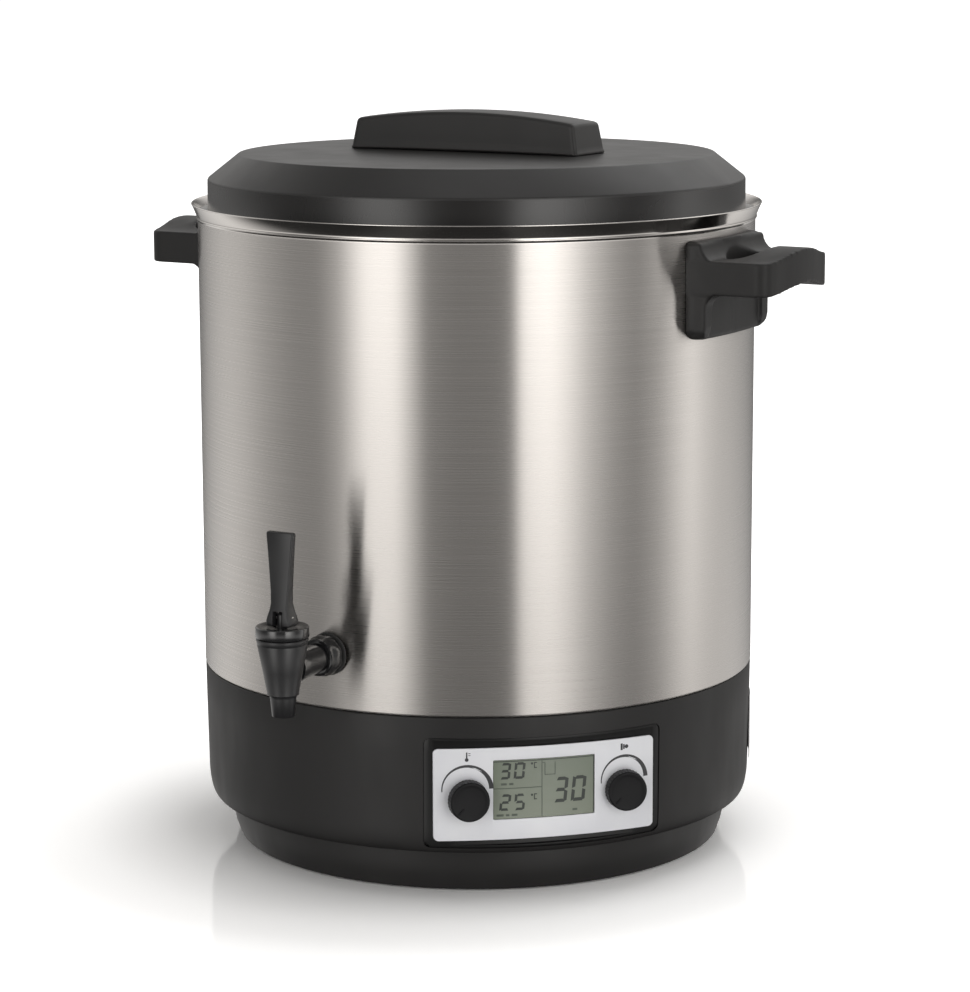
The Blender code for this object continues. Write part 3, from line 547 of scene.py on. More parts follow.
def panel_plate(name, loop, back, front, mat, replaces, edge=0.0, holes=()):
    """Plate bent to the panel's curve; loop and holes are outlines in its own x and z."""
    thing = prism(name, loop, 0, 1)
    if holes:
        cutters = [prism(f"{name}_hole_{i}", hole, -1, 2) for i, hole in enumerate(holes)]
        combine(thing, *cutters)
    bm = bmesh.new()
    bm.from_mesh(thing.data)
    slice_across(bm, 0, -BEZEL_WIDTH / 2, BEZEL_WIDTH / 2, 44)
    bend(bm, back, front)
    bmesh.ops.recalc_face_normals(bm, faces=bm.faces)
    bm.to_mesh(thing.data)
    bm.free()
    if edge:
        bake(bevel(thing, edge, 3, 50))
    return add(thing, mat, replaces=replaces, at=PANEL_AT)


def window_loop(shrink=0.0, corner=0.0008):
    return rounded_rectangle(DISPLAY_X, DISPLAY_Z, DISPLAY_WIDTH - 2 * shrink,
                             DISPLAY_HEIGHT - 2 * shrink, corner, 3)


def make_panel():
    """Black tray in the housing's opening, the pale bezel in it and the display's face."""
    skin = turned("skin", [(0, 0.105), (HOUSING_RADIUS - 0.0006, 0.105)]
                  + [(r - 0.0004, z) for r, z in housing_outer() if z < 0.105]
                  + [(0, HOUSING_LOW.z)])
    frame_piece = panel_prism("frame_tray", 0.1440, 0.0665, 0.0040, 0.145, 0.178, 0, FRAME_Z)
    combine(frame_piece, skin, operation="INTERSECT")
    turn = Matrix.Rotation(PANEL_TURN, 4, "Z") @ Matrix.Translation((0, PANEL_CENTRE, 0))
    behind = cylinder("behind", FRAME_FRONT - 0.0025, 0, 0.2, 720)
    behind.data.transform(turn)
    floor = cylinder("floor", FRAME_FRONT, 0, 0.2, 720)
    floor.data.transform(turn)
    pocket = combine(panel_prism("pocket", 0.1408, 0.0633, 0.0030, 0.150, 0.190, 0, FRAME_Z),
                     floor)
    window = panel_prism("window", DISPLAY_WIDTH - 0.002, DISPLAY_HEIGHT - 0.002, 0.001, 0.14,
                         0.19, DISPLAY_X, DISPLAY_Z)
    combine(frame_piece, behind, pocket, window)
    bake(bevel(frame_piece, 0.0003, 2, 50))
    # the tray's darker black is partly painted shade in the recess round the bezel
    add(frame_piece, PANEL_BLACK_AND_RECESS_SHADE, replaces=["panel_frame"])

    shafts = [arc(side * KNOB_X, KNOB_Z, 0.0045, 0, 345, 23) for side in (-1, 1)]
    panel_plate("bezel_plate", rounded_rectangle(0, PANEL_Z, BEZEL_WIDTH, BEZEL_HEIGHT, 0.0030),
                BEZEL_BACK, PANEL_CURVE, BEZEL, ["panel_bezel"], 0.00035,
                [window_loop()] + shafts)
    panel_plate("display_face", window_loop(GAP, 0.0006), BEZEL_BACK, DISPLAY_FACE,
                display_face(), ["lcd_lens"])


def printed(name, loops, mat, level=PANEL_CURVE):
    """Thin marks lying on the panel or on the display's face, one piece for the whole set."""
    bm = bmesh.new()
    for loop in loops:
        prism_mesh(loop, 0, 1, bm)
    bend(bm, level - 0.00004, level + 0.00006)
    return add(mesh_object(name, bm), mat, at=PANEL_AT)


def swoosh(x, z):
    """Half ring over a knob, thin at its left end and thick at its right."""
    radius, count = 0.0144, 26
    outer, inner = [], []
    for i in range(count + 1):
        share = i / count
        angle = math.radians(184 - 182 * share)
        width = 0.0006 + 0.0022 * share ** 1.2
        for side, reach in ((outer, radius + width / 2), (inner, radius - width / 2)):
            side.append((x + reach * math.cos(angle), z + reach * math.sin(angle)))
    return outer + inner[::-1]


def bar(x, z, width, height):
    return [(x, z), (x + width, z), (x + width, z + height), (x, z + height)]


def rule(x, z, width, height):
    """Long bar in short steps, so that it follows the curve of the panel."""
    count = math.ceil(width / 0.002)
    return [bar(x + width * i / count, z, width / count, height) for i in range(count)]


# segments of a seven-segment digit: top, upper right, lower right, bottom, lower left,
# upper left, middle
DIGITS = {"0": (1, 1, 1, 1, 1, 1, 0), "2": (1, 1, 0, 1, 1, 0, 1), "3": (1, 1, 1, 1, 0, 0, 1),
          "5": (1, 0, 1, 1, 0, 1, 1)}


def digit(figure, x, z, width, height):
    """Outlines of one leaning seven-segment digit whose lower left corner is at x, z."""
    stroke, lean, slit = width * 0.24, 0.10, width * 0.03
    middle = height / 2

    def across(level, left_cut, right_cut):
        half = stroke / 2
        return [(half * left_cut + slit, level - half), (width - half * right_cut - slit,
                level - half), (width - stroke * right_cut - slit, level + half),
                (stroke * left_cut + slit, level + half)]

    def upright(side, low, high):
        return [(side, low + slit), (side + stroke, low + slit + stroke * 0.4),
                (side + stroke, high - slit - stroke * 0.4), (side, high - slit)]

    right = width - stroke
    shapes = (across(height - stroke / 2, 1, 1), upright(right, middle, height),
              upright(right, 0, middle), across(stroke / 2, 1, 1), upright(0, 0, middle),
              upright(0, middle, height), across(middle, 1, 1))
    return [[(x + px + lean * pz, z + pz) for px, pz in shape]
            for shape, lit in zip(shapes, DIGITS[figure]) if lit]


def degree_mark(x, z, size):
    """Small ring and open square bracket that stand for degrees Celsius."""
    ring = arc(x + size * 0.22, z + size * 0.80, size * 0.20, 0, 330, 11)
    stroke = size * 0.16
    left = x + size * 0.55
    return [ring, bar(left, z, stroke, size), bar(left + stroke, z, size * 0.35, stroke),
            bar(left + stroke, z + size - stroke, size * 0.35, stroke)]


def make_printing():
    """Signs over the knobs, and the figures and lines on the display."""
    marks = [swoosh(side * KNOB_X, KNOB_Z + 0.0052) for side in (-1, 1)]
    top = KNOB_Z + 0.0252
    x = -KNOB_X
    marks += [arc(x, top - 0.0018, 0.0011, 0, 330, 11),
              bar(x - 0.0004, top - 0.0012, 0.0008, 0.0039),
              bar(x + 0.0010, top + 0.0018, 0.0012, 0.0004),
              bar(x + 0.0010, top + 0.0006, 0.0012, 0.0004)]
    x = KNOB_X
    marks += [bar(x - 0.0020, top - 0.0020, 0.0013, 0.0040),
              bar(x - 0.0004, top - 0.0015, 0.0010, 0.0030),
              arc(x + 0.0018, top, 0.0012, 0, 330, 11)]
    printed("panel_marks", marks, PRINT)

    left = DISPLAY_X - DISPLAY_WIDTH / 2 + GAP
    low = DISPLAY_LOW + GAP
    divider = left + 0.0288
    half_way = low + 0.0178
    lit = []
    for figures, x, z, step, width, height in (
            ("30", left + 0.0033, half_way + 0.0058, 0.0086, 0.0064, 0.0100),
            ("25", left + 0.0033, low + 0.0046, 0.0086, 0.0064, 0.0100),
            ("30", divider + 0.0066, low + 0.0078, 0.0112, 0.0086, 0.0154)):
        for column, figure in enumerate(figures):
            lit += digit(figure, x + step * column, z, width, height)
    lit += degree_mark(left + 0.0222, half_way + 0.0118, 0.0036)
    lit += degree_mark(left + 0.0222, low + 0.0106, 0.0036)
    printed("display_digits", lit, SEGMENT, DISPLAY_FACE)
    thin = 0.0005
    ghost = [bar(divider, low, thin, DISPLAY_HEIGHT - 2 * GAP)]
    ghost += rule(left, half_way, 0.0288, thin)
    cup = (divider + 0.0018, DISPLAY_HIGH - 0.0102)
    ghost += [bar(cup[0], cup[1], thin, 0.0078), bar(cup[0] + 0.0062, cup[1], thin, 0.0078),
              bar(cup[0], cup[1], 0.0067, thin),
              bar(cup[0] - 0.0012, cup[1] + 0.0074, 0.0014, thin)]
    for start, level, lengths in ((left + 0.0045, half_way + 0.0022, (0.0034, 0.0026)),
                                  (left + 0.0018, low + 0.0012, (0.0042, 0.0020, 0.0034)),
                                  (divider + 0.0190, low + 0.0022, (0.0030,))):
        for length in lengths:
            ghost.append(bar(start, level, length, 0.0013))
            start += length + 0.0014
    printed("display_lines", ghost, GHOST, DISPLAY_FACE)
    edge = DISPLAY_X + DISPLAY_WIDTH / 2 - GAP - 0.0006
    printed("display_edge", [bar(edge, low, thin, DISPLAY_HEIGHT - 2 * GAP)]
            + rule(left, DISPLAY_HIGH - GAP - 0.0008, DISPLAY_WIDTH - 2 * GAP, thin), SEGMENT,
            DISPLAY_FACE)


def make_knob(joint, node, name):
    """Dial with a ribbed side, a dished cap and a small pointer ridge."""
    low, high = corners(node)
    radius = (high.z - low.z) / 2 - 0.0003
    depth = 0.0071
    profile = [(0, -0.0005), (radius * 0.70, -0.0005), (radius * 0.80, -0.0003)]
    profile += arc(radius - 0.0012, -0.0010, 0.0010, 88, 0, 5)
    profile += [(radius + 0.0002, -depth + 0.0006), (radius - 0.0002, -depth), (0.0034, -depth),
                (0.0034, -0.0022), (0, -0.0022)]
    bm = turned_mesh(profile, 6 * KNOB_RIBS)
    dent_side(bm, radius - 0.0009, -0.0009, 0.00022, KNOB_RIBS)
    knob = mesh_object(name, bm, 45)
    turn = Matrix.Rotation(PANEL_TURN, 4, "Z") @ Matrix.Rotation(UPRIGHT, 4, "X")
    at = Matrix.Translation(Vector(joint["pos_m"])) @ turn
    bodies = frame["record"]["behaviour"]["bodies"]
    body = next(key for key, members in bodies.items() if node in members)
    add(knob, KNOB_BLACK, body=body, replaces=[node], at=at)
    ridge = prism(f"{name}_pointer", rounded_rectangle(0, 0, 0.0011, 0.0050, 0.0005, 4), -0.0006,
                  0.0)
    bake(bevel(ridge, 0.00025, 2, 50))
    spin = Matrix.Rotation(math.radians(135), 4, "Z") @ Matrix.Translation((0, 0.0078, 0))
    add(ridge, KNOB_BLACK, body=body, at=at @ spin)


# ------------------------------------------------------------------ side handles
HANDLE_LOW, HANDLE_HIGH = corners("side_handle_right")
GRIP_OUT = HANDLE_HIGH.x - AXIS.x
GRIP_BOW = 0.005
HALF_WIDTH = (HANDLE_HIGH.y - HANDLE_LOW.y) / 2
GRIP_LOW, GRIP_HIGH, GRIP_ARCH = 0.353, 0.373, 0.0062
PLATE_FACE, PAD_FACE = 0.1768, 0.1800
FINGER = (0.1907, 0.0135, 0.0255)     # middle, half depth and half width of the finger hole


def grip_loop():
    reach, corner, half = GRIP_OUT - GRIP_BOW, 0.0085, HALF_WIDTH
    points = [(0.160, -half)] + arc(reach - corner, -half + corner, corner, -90, -12, 8)
    span = half - corner
    for i in range(1, 30):
        y = -span + 2 * span * i / 30
        points.append((reach + GRIP_BOW * math.cos(math.pi * y / (2 * half)) ** 2, y))
    return points + arc(reach - corner, half - corner, corner, 12, 90, 8) + [(0.160, half)]


def finger_loop():
    centre, depth, width = FINGER
    return [(centre + depth * math.cos(a), width * math.sin(a))
            for a in [2 * math.pi * i / 64 for i in range(64)]]


def grip_piece():
    """Arm and grip, arched upwards in the middle, sliced so that the arch is smooth."""
    bm = prism_mesh(grip_loop(), GRIP_LOW, GRIP_HIGH)
    slice_across(bm, 0, 0.180, 0.225, 15)
    slice_across(bm, 1, -HALF_WIDTH, HALF_WIDTH, 30)
    for vert in bm.verts:
        middle = math.cos(math.pi * vert.co.y / (2 * HALF_WIDTH)) ** 2
        reach = smooth_step((vert.co.x - 0.184) / 0.020)
        share = 1.0 if vert.co.z > (GRIP_LOW + GRIP_HIGH) / 2 else 0.9
        vert.co.z += GRIP_ARCH * middle * reach * share
    return mesh_object("grip", bm)


def bracket_piece():
    """Plate on the pot's wall with the brow above the arm and the flare below it."""
    half = math.degrees(HALF_WIDTH / POT_RADIUS)
    low, plate_top = HANDLE_LOW.z, 0.384
    loop = arc(0, 0, PLATE_FACE, -half, half, 40) + arc(0, 0, 0.1590, half, -half, 20)
    plate = prism("plate", loop, low, plate_top)
    brow = [(0.160, plate_top - 0.0010), (PLATE_FACE - 0.0014, plate_top - 0.0010)]
    brow += arc(PLATE_FACE + 0.0105, plate_top - 0.0010, 0.0109, 185, 268, 12)
    brow += [(PLATE_FACE + 0.012, GRIP_LOW + 0.002)]
    brow += arc(PAD_FACE + 0.0084, GRIP_LOW - 0.0080, 0.0084, 90, 180, 12)
    brow += [(PAD_FACE, low + 0.008), (PAD_FACE - 0.0010, low + 0.004),
             (PLATE_FACE - 0.0003, low + 0.0004), (0.160, low + 0.0004)]
    gusset = prism("gusset", brow, -HALF_WIDTH + 0.0004, HALF_WIDTH - 0.0004)
    gusset.data.transform(Matrix.Rotation(UPRIGHT, 4, "X"))
    scoop = prism("scoop", rounded_rectangle(0, GRIP_LOW - 0.0302, 0.068, 0.060, 0.012, 8),
                  PLATE_FACE + 0.0006, PLATE_FACE + 0.060)
    outward = Matrix(((0, 0, 1, 0), (1, 0, 0, 0), (0, 1, 0, 0), (0, 0, 0, 1)))
    scoop.data.transform(outward)
    combine(gusset, scoop)
    combine(plate, gusset, operation="UNION")
    middle, reach = (low + plate_top) / 2, (plate_top - low) / 2
    front = (arc(HALF_WIDTH - 0.008, middle - reach + 0.008, 0.008, -90, 0, 8)
             + arc(HALF_WIDTH - 0.004, middle + reach - 0.004, 0.004, 0, 90, 6)
             + arc(0.004 - HALF_WIDTH, middle + reach - 0.004, 0.004, 90, 180, 6)
             + arc(0.008 - HALF_WIDTH, middle - reach + 0.008, 0.008, 180, 270, 8))
    trim = prism("trim", front, 0.15, 0.21)
    trim.data.transform(outward)
    return combine(plate, trim, operation="INTERSECT")


def make_side_handles():
    handle = bracket_piece()
    hole = prism("finger_cut", finger_loop(), 0.30, 0.42)
    combine(handle, grip_piece(), operation="UNION")
    combine(handle, hole)
    smooth_remesh(handle, 0.0009, 6)
    seat = cylinder("seat", POT_RADIUS + GAP, 0.30, 0.42, 360)
    combine(handle, seat)
    for name, turn in (("right", 0.0), ("left", math.pi)):
        piece = bpy.data.objects.new(f"handle_{name}", handle.data.copy())
        at = Matrix.Translation(AXIS) @ Matrix.Rotation(turn, 4, "Z")
        add(piece, BLACK, replaces=[f"side_handle_{name}"], at=at)
    bpy.data.objects.remove(handle)


# ------------------------------------------------------------------ lid
LID_HIGH = corners("lid_shell")[1]
BAR_LOW, BAR_HIGH = corners("lid_handle")


def make_lid():
    """Turned cover with its chamfered edge, its lip over the rim and its step inside it."""
    top, edge = LID_HIGH.z, 0.4282
    profile = [(0, top), (0.05, top - 0.0001), (0.10, top - 0.0003), (0.1445, edge)]
    profile += arc(0.1462, edge - 0.0020, 0.0020, 84, 46, 5)
    profile += arc(0.1638, 0.4118, 0.0024, 46, 3, 5)
    profile += [(0.1663, 0.3950), (0.1668, 0.3942)]
    profile += arc(0.1714, 0.3930, 0.0008, 80, -80, 5)
    profile += [(0.1700, 0.3914), (0.1696, 0.3842), (0.1690, 0.3840), (0.1676, 0.3840),
                (0.1640, 0.3924), (0.1634, 0.4118), (0.1467, 0.4256), (0.100, 0.4263),
                (0, 0.4266)]
    add(turned("lid_cover", profile), LID_BLACK, body="lid",
        replaces=["lid_shell"])
    make_lid_bar()


def make_lid_bar():
    """Arched, drafted carrying bar with rounded edges and a small foot flare."""
    half_length = (BAR_HIGH.x - BAR_LOW.x) / 2
    half_width = (BAR_HIGH.y - BAR_LOW.y) / 2
    height = BAR_HIGH.z - BAR_LOW.z
    drop = 0.0055
    bm = bmesh.new()
    bmesh.ops.create_cube(bm, size=1.0)
    for axis, cuts in ((0, 47), (1, 5), (2, 7)):
        edges = [e for e in bm.edges
                 if abs(e.verts[0].co[axis] - e.verts[1].co[axis]) > 0.5]
        bmesh.ops.subdivide_edges(bm, edges=edges, cuts=cuts, use_grid_fill=True)
    for vert in bm.verts:
        along, across, up = vert.co.x * 2, vert.co.y * 2, vert.co.z + 0.5
        flare = 0.0010 * max(0.0, 1 - up / 0.14) ** 2
        x = along * (half_length - 0.0012 - 0.0034 * up + flare)
        y = across * (half_width - 0.0012 - 0.0018 * up + flare)
        crown = height - drop * along ** 2 - 0.0006 * across ** 2 * up
        vert.co = (x, y, up * crown - 0.0005 * along ** 2 * (1 - up))
    bar_piece = mesh_object("lid_bar", bm, 30)
    bevel(bar_piece, 0.0026, 4, 50)
    pocket = prism("pocket", rounded_rectangle(0, 0, 0.096, 0.030, 0.003), -0.01, 0.016)
    bake(bar_piece)
    combine(bar_piece, pocket)
    at = Matrix.Translation((AXIS.x, AXIS.y, BAR_LOW.z))
    add(bar_piece, BAR_BLACK, body="lid", replaces=["lid_handle"], at=at)


# ------------------------------------------------------------------ drain tap
PIN = Vector(JOINTS["lever_tilt"]["pos_m"])
TAP_AT = Matrix.Translation((PIN.x, PIN.y, 0))
BONNET_TOP = corners("tap_bonnet")[1].z
PIPE_Z = 0.1445
LEVER_TOP = corners("tap_lever")[1].z


def tap_bore():
    bore = cylinder("tap_bore", 0.0055, 0.006, 0.09, 32)
    bore.data.transform(lying(0, 0, PIPE_Z, -UPRIGHT))
    return bore


def make_tap():
    """Cone with its nozzle, the pipe into the pot and the cap; lever and nut follow."""
    profile = [(0.0121, 0.1636), (0.0149, 0.1636)]
    profile += arc(0.0147, 0.1630, 0.0005, 90, -8, 3)
    profile += [(0.0148, 0.1606), (0.0144, 0.1600), (0.0146, 0.1594), (0.0117, 0.1442),
                (0.0093, 0.1312)]
    profile += arc(0.0086, 0.1306, 0.0007, 0, -80, 4)
    profile += [(0.0081, 0.1296), (0.0079, 0.1290), (0.0077, 0.1280), (0.0067, 0.1176),
                (0.0064, 0.1172), (0.0046, 0.1172), (0.0044, 0.1380), (0.0074, 0.1400)]
    body = turned("tap_cone", profile, 96)
    shank = [(0, 0.0700), (0.0078, 0.0700), (0.0080, 0.0690), (0.0080, 0.0330),
             (0.0088, 0.0322), (0.0092, 0.0180), (0.0098, 0.0135), (0.0098, 0.0090),
             (0, 0.0090)]
    pipe = turned("tap_pipe", shank, 64)
    pipe.data.transform(lying(0, 0, PIPE_Z, -UPRIGHT))
    combine(body, tap_bore())
    combine(pipe, tap_bore(), cylinder("tap_sleeve", 0.0116, 0.1, 0.2, 64))
    bake(bevel(body, 0.0003, 2, 40))
    add(pipe, TAP_GLOSS, at=TAP_AT)
    add(body, TAP_BLACK, replaces=["tap_body"], at=TAP_AT)

    bonnet = [(0.0033, BONNET_TOP - 0.0010), (0.0070, BONNET_TOP - 0.0010),
              (0.0086, BONNET_TOP), (0.0145, BONNET_TOP)]
    bonnet += arc(0.0147, BONNET_TOP - 0.0008, 0.0008, 80, 5, 4)
    bonnet += [(0.0156, 0.1646), (0.0152, 0.1640), (0.0118, 0.1640), (0.0118, 0.1676),
               (0.0033, 0.1676)]
    add(turned("tap_cap", bonnet, 96), TAP_GLOSS, replaces=["tap_bonnet"],
        at=TAP_AT)
    make_lever()
    make_tap_nut()


def make_lever():
    """Flared paddle on a forked foot, softened like a moulding."""
    foot = BONNET_TOP + GAP - PIN.z
    top = LEVER_TOP - PIN.z
    levels = [(foot, 0.0074, 0.0046), (foot + 0.0006, 0.0079, 0.0051),
              (foot + 0.0030, 0.0080, 0.0052), (foot + 0.0062, 0.0070, 0.0050),
              (foot + 0.0092, 0.0060, 0.0046), (foot + 0.0130, 0.0056, 0.0037),
              (foot + 0.0200, 0.0061, 0.0030), (foot + 0.0300, 0.0069, 0.0027),
              (foot + 0.0400, 0.0078, 0.0024), (top - 0.0012, 0.0090, 0.0022),
              (top - 0.0003, 0.0089, 0.0020), (top, 0.0086, 0.0016)]
    bm = bmesh.new()
    bmesh.ops.create_cube(bm, size=1.0)
    upright = [e for e in bm.edges if abs(e.verts[0].co.z - e.verts[1].co.z) > 0.5]
    bmesh.ops.subdivide_edges(bm, edges=upright, cuts=len(levels) - 2, use_grid_fill=True)
    for vert in bm.verts:
        z, x, y = levels[round((vert.co.z + 0.5) * (len(levels) - 1))]
        vert.co = (math.copysign(x, vert.co.x), math.copysign(y, vert.co.y), z)
    lever = mesh_object("lever_paddle", bm, 30)
    bake(bevel(lever, 0.0009, 3, 55))
    slot = prism("slot", rounded_rectangle(0, 0, 0.0066, 0.030, 0.0004, 2), -0.008, 0.0043)
    combine(lever, slot)
    add(lever, TAP_BLACK, body="tap_handle", replaces=["tap_lever"],
        at=Matrix.Translation(PIN))


def make_tap_nut():
    """Collar nut with eight soft flats, and the washer behind it."""
    low, high = corners("tap_outer_nut")
    depth = high.y - low.y
    profile = [(0.0083, depth), (0.0102, depth), (0.0110, depth - 0.0006),
               (0.0112, depth - 0.0030), (0.0121, depth - 0.0042), (0.0122, 0.0016),
               (0.0116, 0.0004), (0.0112, 0), (0.0083, 0)]
    bm = turned_mesh(profile, 96)
    dent_side(bm, 0.0115, depth, 0.00035, 8)
    nut = mesh_object("tap_collar", bm, 45)
    add(nut, TAP_GLOSS, replaces=["tap_outer_nut"],
        at=lying(AXIS.x, high.y, PIPE_Z))
    washer = [(0.0083, 0.0022), (0.0120, 0.0022)] + arc(0.0119, 0.0013, 0.0009, 80, -80, 6)
    washer += [(0.0120, 0), (0.0083, 0)]
    add(turned("tap_gasket", washer, 64), RUBBER,
        replaces=["tap_outer_washer"],
        at=lying(AXIS.x, corners("tap_outer_washer")[1].y, PIPE_Z))


# ------------------------------------------------------------------ studio
CAMERA_AZIMUTH = math.radians(30.5)
CAMERA_DISTANCE, CAMERA_HEIGHT = 2.0, 0.567
CAMERA_LENS = 116.96
CAMERA_PITCH, CAMERA_YAW, CAMERA_ROLL = (math.radians(a) for a in (10.072, 0.133, -0.172))
TO_OBJECT = Matrix.Translation(AXIS) @ Matrix.Rotation(CAMERA_AZIMUTH, 4, "Z")


def make_camera():
    camera = bpy.data.objects.new("camera", bpy.data.cameras.new("camera"))
    LINKED.link(camera)
    camera.data.lens = CAMERA_LENS
    camera.data.clip_end = 50
    level = Matrix.Rotation(-CAMERA_YAW, 4, "Z") @ Matrix.Rotation(
        UPRIGHT - CAMERA_PITCH, 4, "X")
    place = Matrix.Translation((0, -CAMERA_DISTANCE, CAMERA_HEIGHT))
    camera.matrix_world = TO_OBJECT @ place @ level @ Matrix.Rotation(CAMERA_ROLL, 4, "Z")
    bpy.context.scene.camera = camera


# studio walls as (bearing in degrees from the camera's side, radiance), all the way round
WALLS = ((-180, 0.10), (-160, 0.19), (-142, 0.38), (-126, 0.51), (-112, 0.47), (-97, 0.28),
         (-80, 0.13), (-68, 0.15), (-58, 0.68), (-46, 2.60), (-34, 2.80), (-27, 1.35),
         (-21, 0.20), (-8, 0.10), (6, 0.11), (15, 0.14), (18, 2.85), (30, 3.20), (38, 2.35),
         (46, 1.30), (57, 0.52), (68, 0.17), (80, 0.47), (90, 1.05), (99, 1.45), (107, 0.95),
         (119, 0.50), (133, 0.33), (160, 0.18), (180, 0.10))
CEILING, TABLE = 0.24, 1.25   # radiance overhead, and of the bright table below the walls


def fill_ramp(ramp, levels):
    """Set a colour ramp's stops from (position, grey level) pairs."""
    stops = ramp.color_ramp.elements
    for i, (at, level) in enumerate(levels):
        stop = stops[0] if i == 0 else stops[-1] if i == len(levels) - 1 else stops.new(at)
        stop.position = at
        stop.color = (level, level, level, 1)


def make_world():
    """White to the eye; as a light source, walls of softboxes under a dim ceiling."""
    world = bpy.data.worlds.new("studio")
    bpy.context.scene.world = world
    world.use_nodes = True
    tree = world.node_tree
    link = tree.links.new

    def math_node(operation, first, second=None):
        step = tree.nodes.new("ShaderNodeMath")
        step.operation = operation
        for socket, value in zip(step.inputs, (first, second)):
            if isinstance(value, (int, float)):
                socket.default_value = value
            elif value is not None:
                link(value, socket)
        return step.outputs["Value"]

    direction = tree.nodes.new("ShaderNodeTexCoord").outputs["Generated"]
    split = tree.nodes.new("ShaderNodeSeparateXYZ")
    link(direction, split.inputs["Vector"])

    def along(x, y):
        step = tree.nodes.new("ShaderNodeVectorMath")
        step.operation = "DOT_PRODUCT"
        step.inputs[1].default_value = (x, y, 0)
        link(direction, step.inputs[0])
        return step.outputs["Value"]

    def by_height(start, end, low, high):
        """Smooth change from low to high between two heights of the direction."""
        step = tree.nodes.new("ShaderNodeMapRange")
        step.interpolation_type = "SMOOTHSTEP"
        for socket, value in zip(step.inputs[1:5], (start, end, low, high)):
            socket.default_value = value
        link(split.outputs["Z"], step.inputs["Value"])
        return step.outputs["Result"]

    def blend(factor, first, level):
        step = tree.nodes.new("ShaderNodeMix")
        link(factor, step.inputs["Factor"])
        link(first, step.inputs["A"])
        step.inputs["B"].default_value = level
        return step.outputs["Result"]

    sine, cosine = math.sin(CAMERA_AZIMUTH), math.cos(CAMERA_AZIMUTH)
    bearing = math_node("ARCTAN2", along(cosine, sine), along(sine, -cosine))
    share = math_node("ADD", math_node("DIVIDE", bearing, 2 * math.pi), 0.5)
    ramp = tree.nodes.new("ShaderNodeValToRGB")
    strongest = max(level for _, level in WALLS)
    fill_ramp(ramp, [((angle + 180) / 360, level / strongest) for angle, level in WALLS])
    link(share, ramp.inputs["Fac"])
    behind = math_node("MAXIMUM", along(-sine, cosine), 0.0)
    wall = math_node("ADD", math_node("MULTIPLY", ramp.outputs["Color"], strongest),
                     math_node("MULTIPLY", by_height(0.06, 0.24, 0.0, 0.85), behind))
    wall = blend(by_height(-0.07, -0.42, 0.0, 0.60), wall, TABLE)
    wall = math_node("MULTIPLY", wall, by_height(-0.60, -0.38, 0.03, 1.0))
    room = blend(by_height(0.35, 0.80, 0.0, 1.0), wall, CEILING)

    lit = tree.nodes.new("ShaderNodeBackground")
    lit.inputs["Color"].default_value = (1.0, 0.985, 0.965, 1)
    link(room, lit.inputs["Strength"])
    seen = tree.nodes["Background"]
    seen.inputs["Color"].default_value = (1, 1, 1, 1)
    seen.inputs["Strength"].default_value = 1.05
    path = tree.nodes.new("ShaderNodeLightPath")
    mix = tree.nodes.new("ShaderNodeMixShader")
    link(path.outputs["Is Camera Ray"], mix.inputs["Fac"])
    link(lit.outputs["Background"], mix.inputs[1])
    link(seen.outputs["Background"], mix.inputs[2])
    link(mix.outputs["Shader"], tree.nodes["World Output"].inputs["Surface"])


# glow of the floor as (metres from the object, strength): a painted shadow, weak near the object,
# brightening into the background
FLOOR_GLOW_AND_PAINTED_SHADOW = ((0.15, 0.0), (0.19, 0.08), (0.22, 0.14), (0.25, 0.19), (0.28, 0.32), (0.34, 0.42),
              (0.50, 0.65), (0.80, 0.97))


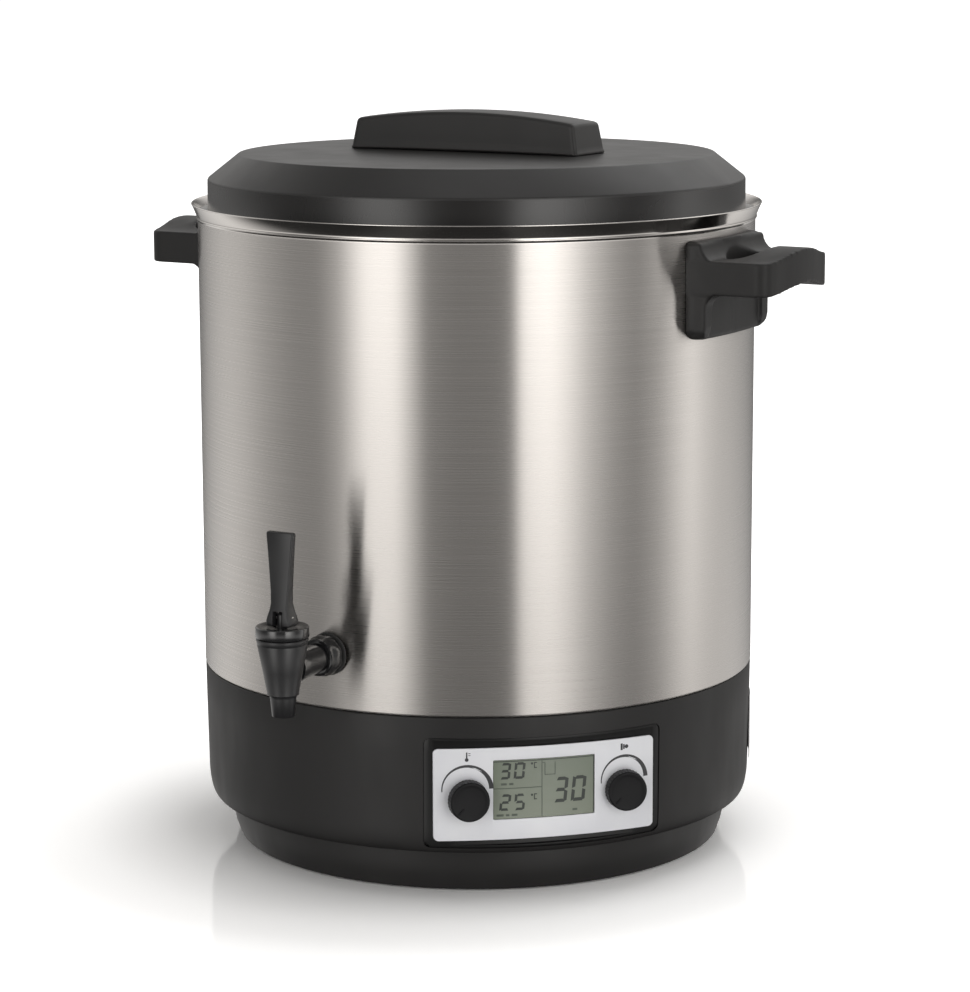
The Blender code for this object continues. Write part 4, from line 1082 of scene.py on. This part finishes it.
def make_floor():
    """White gloss floor that the camera sees and the object's own reflections pass through; its
    colour and glow are darker near the object, a painted contact shadow.
    """
    bm = bmesh.new()
    bmesh.ops.create_circle(bm, cap_ends=True, segments=96, radius=14.0)
    floor = mesh_object("studio_floor", bm)
    LINKED.link(floor)
    made = Nodes("pale_acrylic_painted_shadow")
    # distance from a spot a little left of the pot's axis, so that the painted shadow leans to the
    # left
    reach = made.node("ShaderNodeVectorMath", {1: TO_OBJECT @ Vector((-0.03, 0, 0))},
                      operation="DISTANCE")
    made.link(made.coords, reach.inputs[0])
    sheet = made.node("ShaderNodeBsdfDiffuse")
    tint = made.mix_color(made.spread(made.noise(3.0, 2.0), 0, 1), (1.72, 1.72, 1.72),
                          (1.78, 1.78, 1.78))
    # painted contact shadow: the floor's colour darkens towards the object
    painted_contact_shadow = made.node("ShaderNodeMix", {"Factor": 1.0}, data_type="RGBA",
                        blend_type="MULTIPLY")
    made.link(tint, painted_contact_shadow.inputs["A"])
    made.link(made.spread(reach.outputs["Value"], 0.62, 1.0, 0.10, 0.22), painted_contact_shadow.inputs["B"])
    made.link(painted_contact_shadow.outputs["Result"], sheet.inputs["Color"])
    gloss = made.node("ShaderNodeBsdfGlossy", {"Roughness": 0.09})
    fresnel = made.node("ShaderNodeFresnel", {"IOR": 1.45})
    # emission weaker near the object and stronger farther out: painted shadow round the base
    glow = made.node("ShaderNodeEmission")
    ramp = made.node("ShaderNodeValToRGB")
    fill_ramp(ramp, FLOOR_GLOW_AND_PAINTED_SHADOW)
    made.link(reach.outputs["Value"], ramp.inputs["Fac"])
    made.link(ramp.outputs["Color"], glow.inputs["Strength"])
    coat = made.node("ShaderNodeMixShader")
    made.link(fresnel.outputs["Fac"], coat.inputs["Fac"])
    made.link(sheet.outputs["BSDF"], coat.inputs[1])
    made.link(gloss.outputs["BSDF"], coat.inputs[2])
    both = made.node("ShaderNodeAddShader")
    made.link(coat.outputs["Shader"], both.inputs[0])
    made.link(glow.outputs["Emission"], both.inputs[1])
    path = made.node("ShaderNodeLightPath")
    clear = made.node("ShaderNodeBsdfTransparent")
    mix = made.node("ShaderNodeMixShader")
    made.link(path.outputs["Is Camera Ray"], mix.inputs["Fac"])
    made.link(clear.outputs["BSDF"], mix.inputs[1])
    made.link(both.outputs["Shader"], mix.inputs[2])
    made.link(mix.outputs["Shader"], made.tree.nodes["Material Output"].inputs["Surface"])
    made.tree.nodes.remove(made.shader)
    floor.data.materials.append(made.mat)


def softbox(name, bearing, reach, height, size, radiance):
    """Square area light aimed at the lid; bearing is from the camera's side, clockwise."""
    data = bpy.data.lights.new(name, "AREA")
    data.shape = "SQUARE"
    data.size = size
    data.energy = radiance * math.pi * size ** 2
    light = bpy.data.objects.new(name, data)
    LINKED.link(light)
    light.visible_camera = False
    angle = math.radians(bearing)
    spot = Vector((reach * math.sin(angle), -reach * math.cos(angle), height))
    turn = (Vector((0, 0, LID_HIGH.z)) - spot).to_track_quat("-Z", "Y").to_matrix().to_4x4()
    light.matrix_world = TO_OBJECT @ Matrix.Translation(spot) @ turn


def make_lights():
    softbox("back_right", 138, 1.35, 1.95, 1.3, 1.5)
    softbox("back_left", -112, 1.3, 1.30, 0.6, 0.35)
    softbox("overhead", 0, 0.01, 2.2, 1.2, 0.6)


dress_cad_nodes()
make_camera()
make_world()
make_floor()
make_lights()
make_pot()
make_base()
make_panel()
make_printing()
make_knob(TEMPERATURE, "temperature_knob", "temperature_dial_cap")
make_knob(TIMER, "timer_knob", "timer_dial_cap")
make_side_handles()
make_lid()
make_tap()
bpy.context.scene.view_settings.view_transform = "Standard"
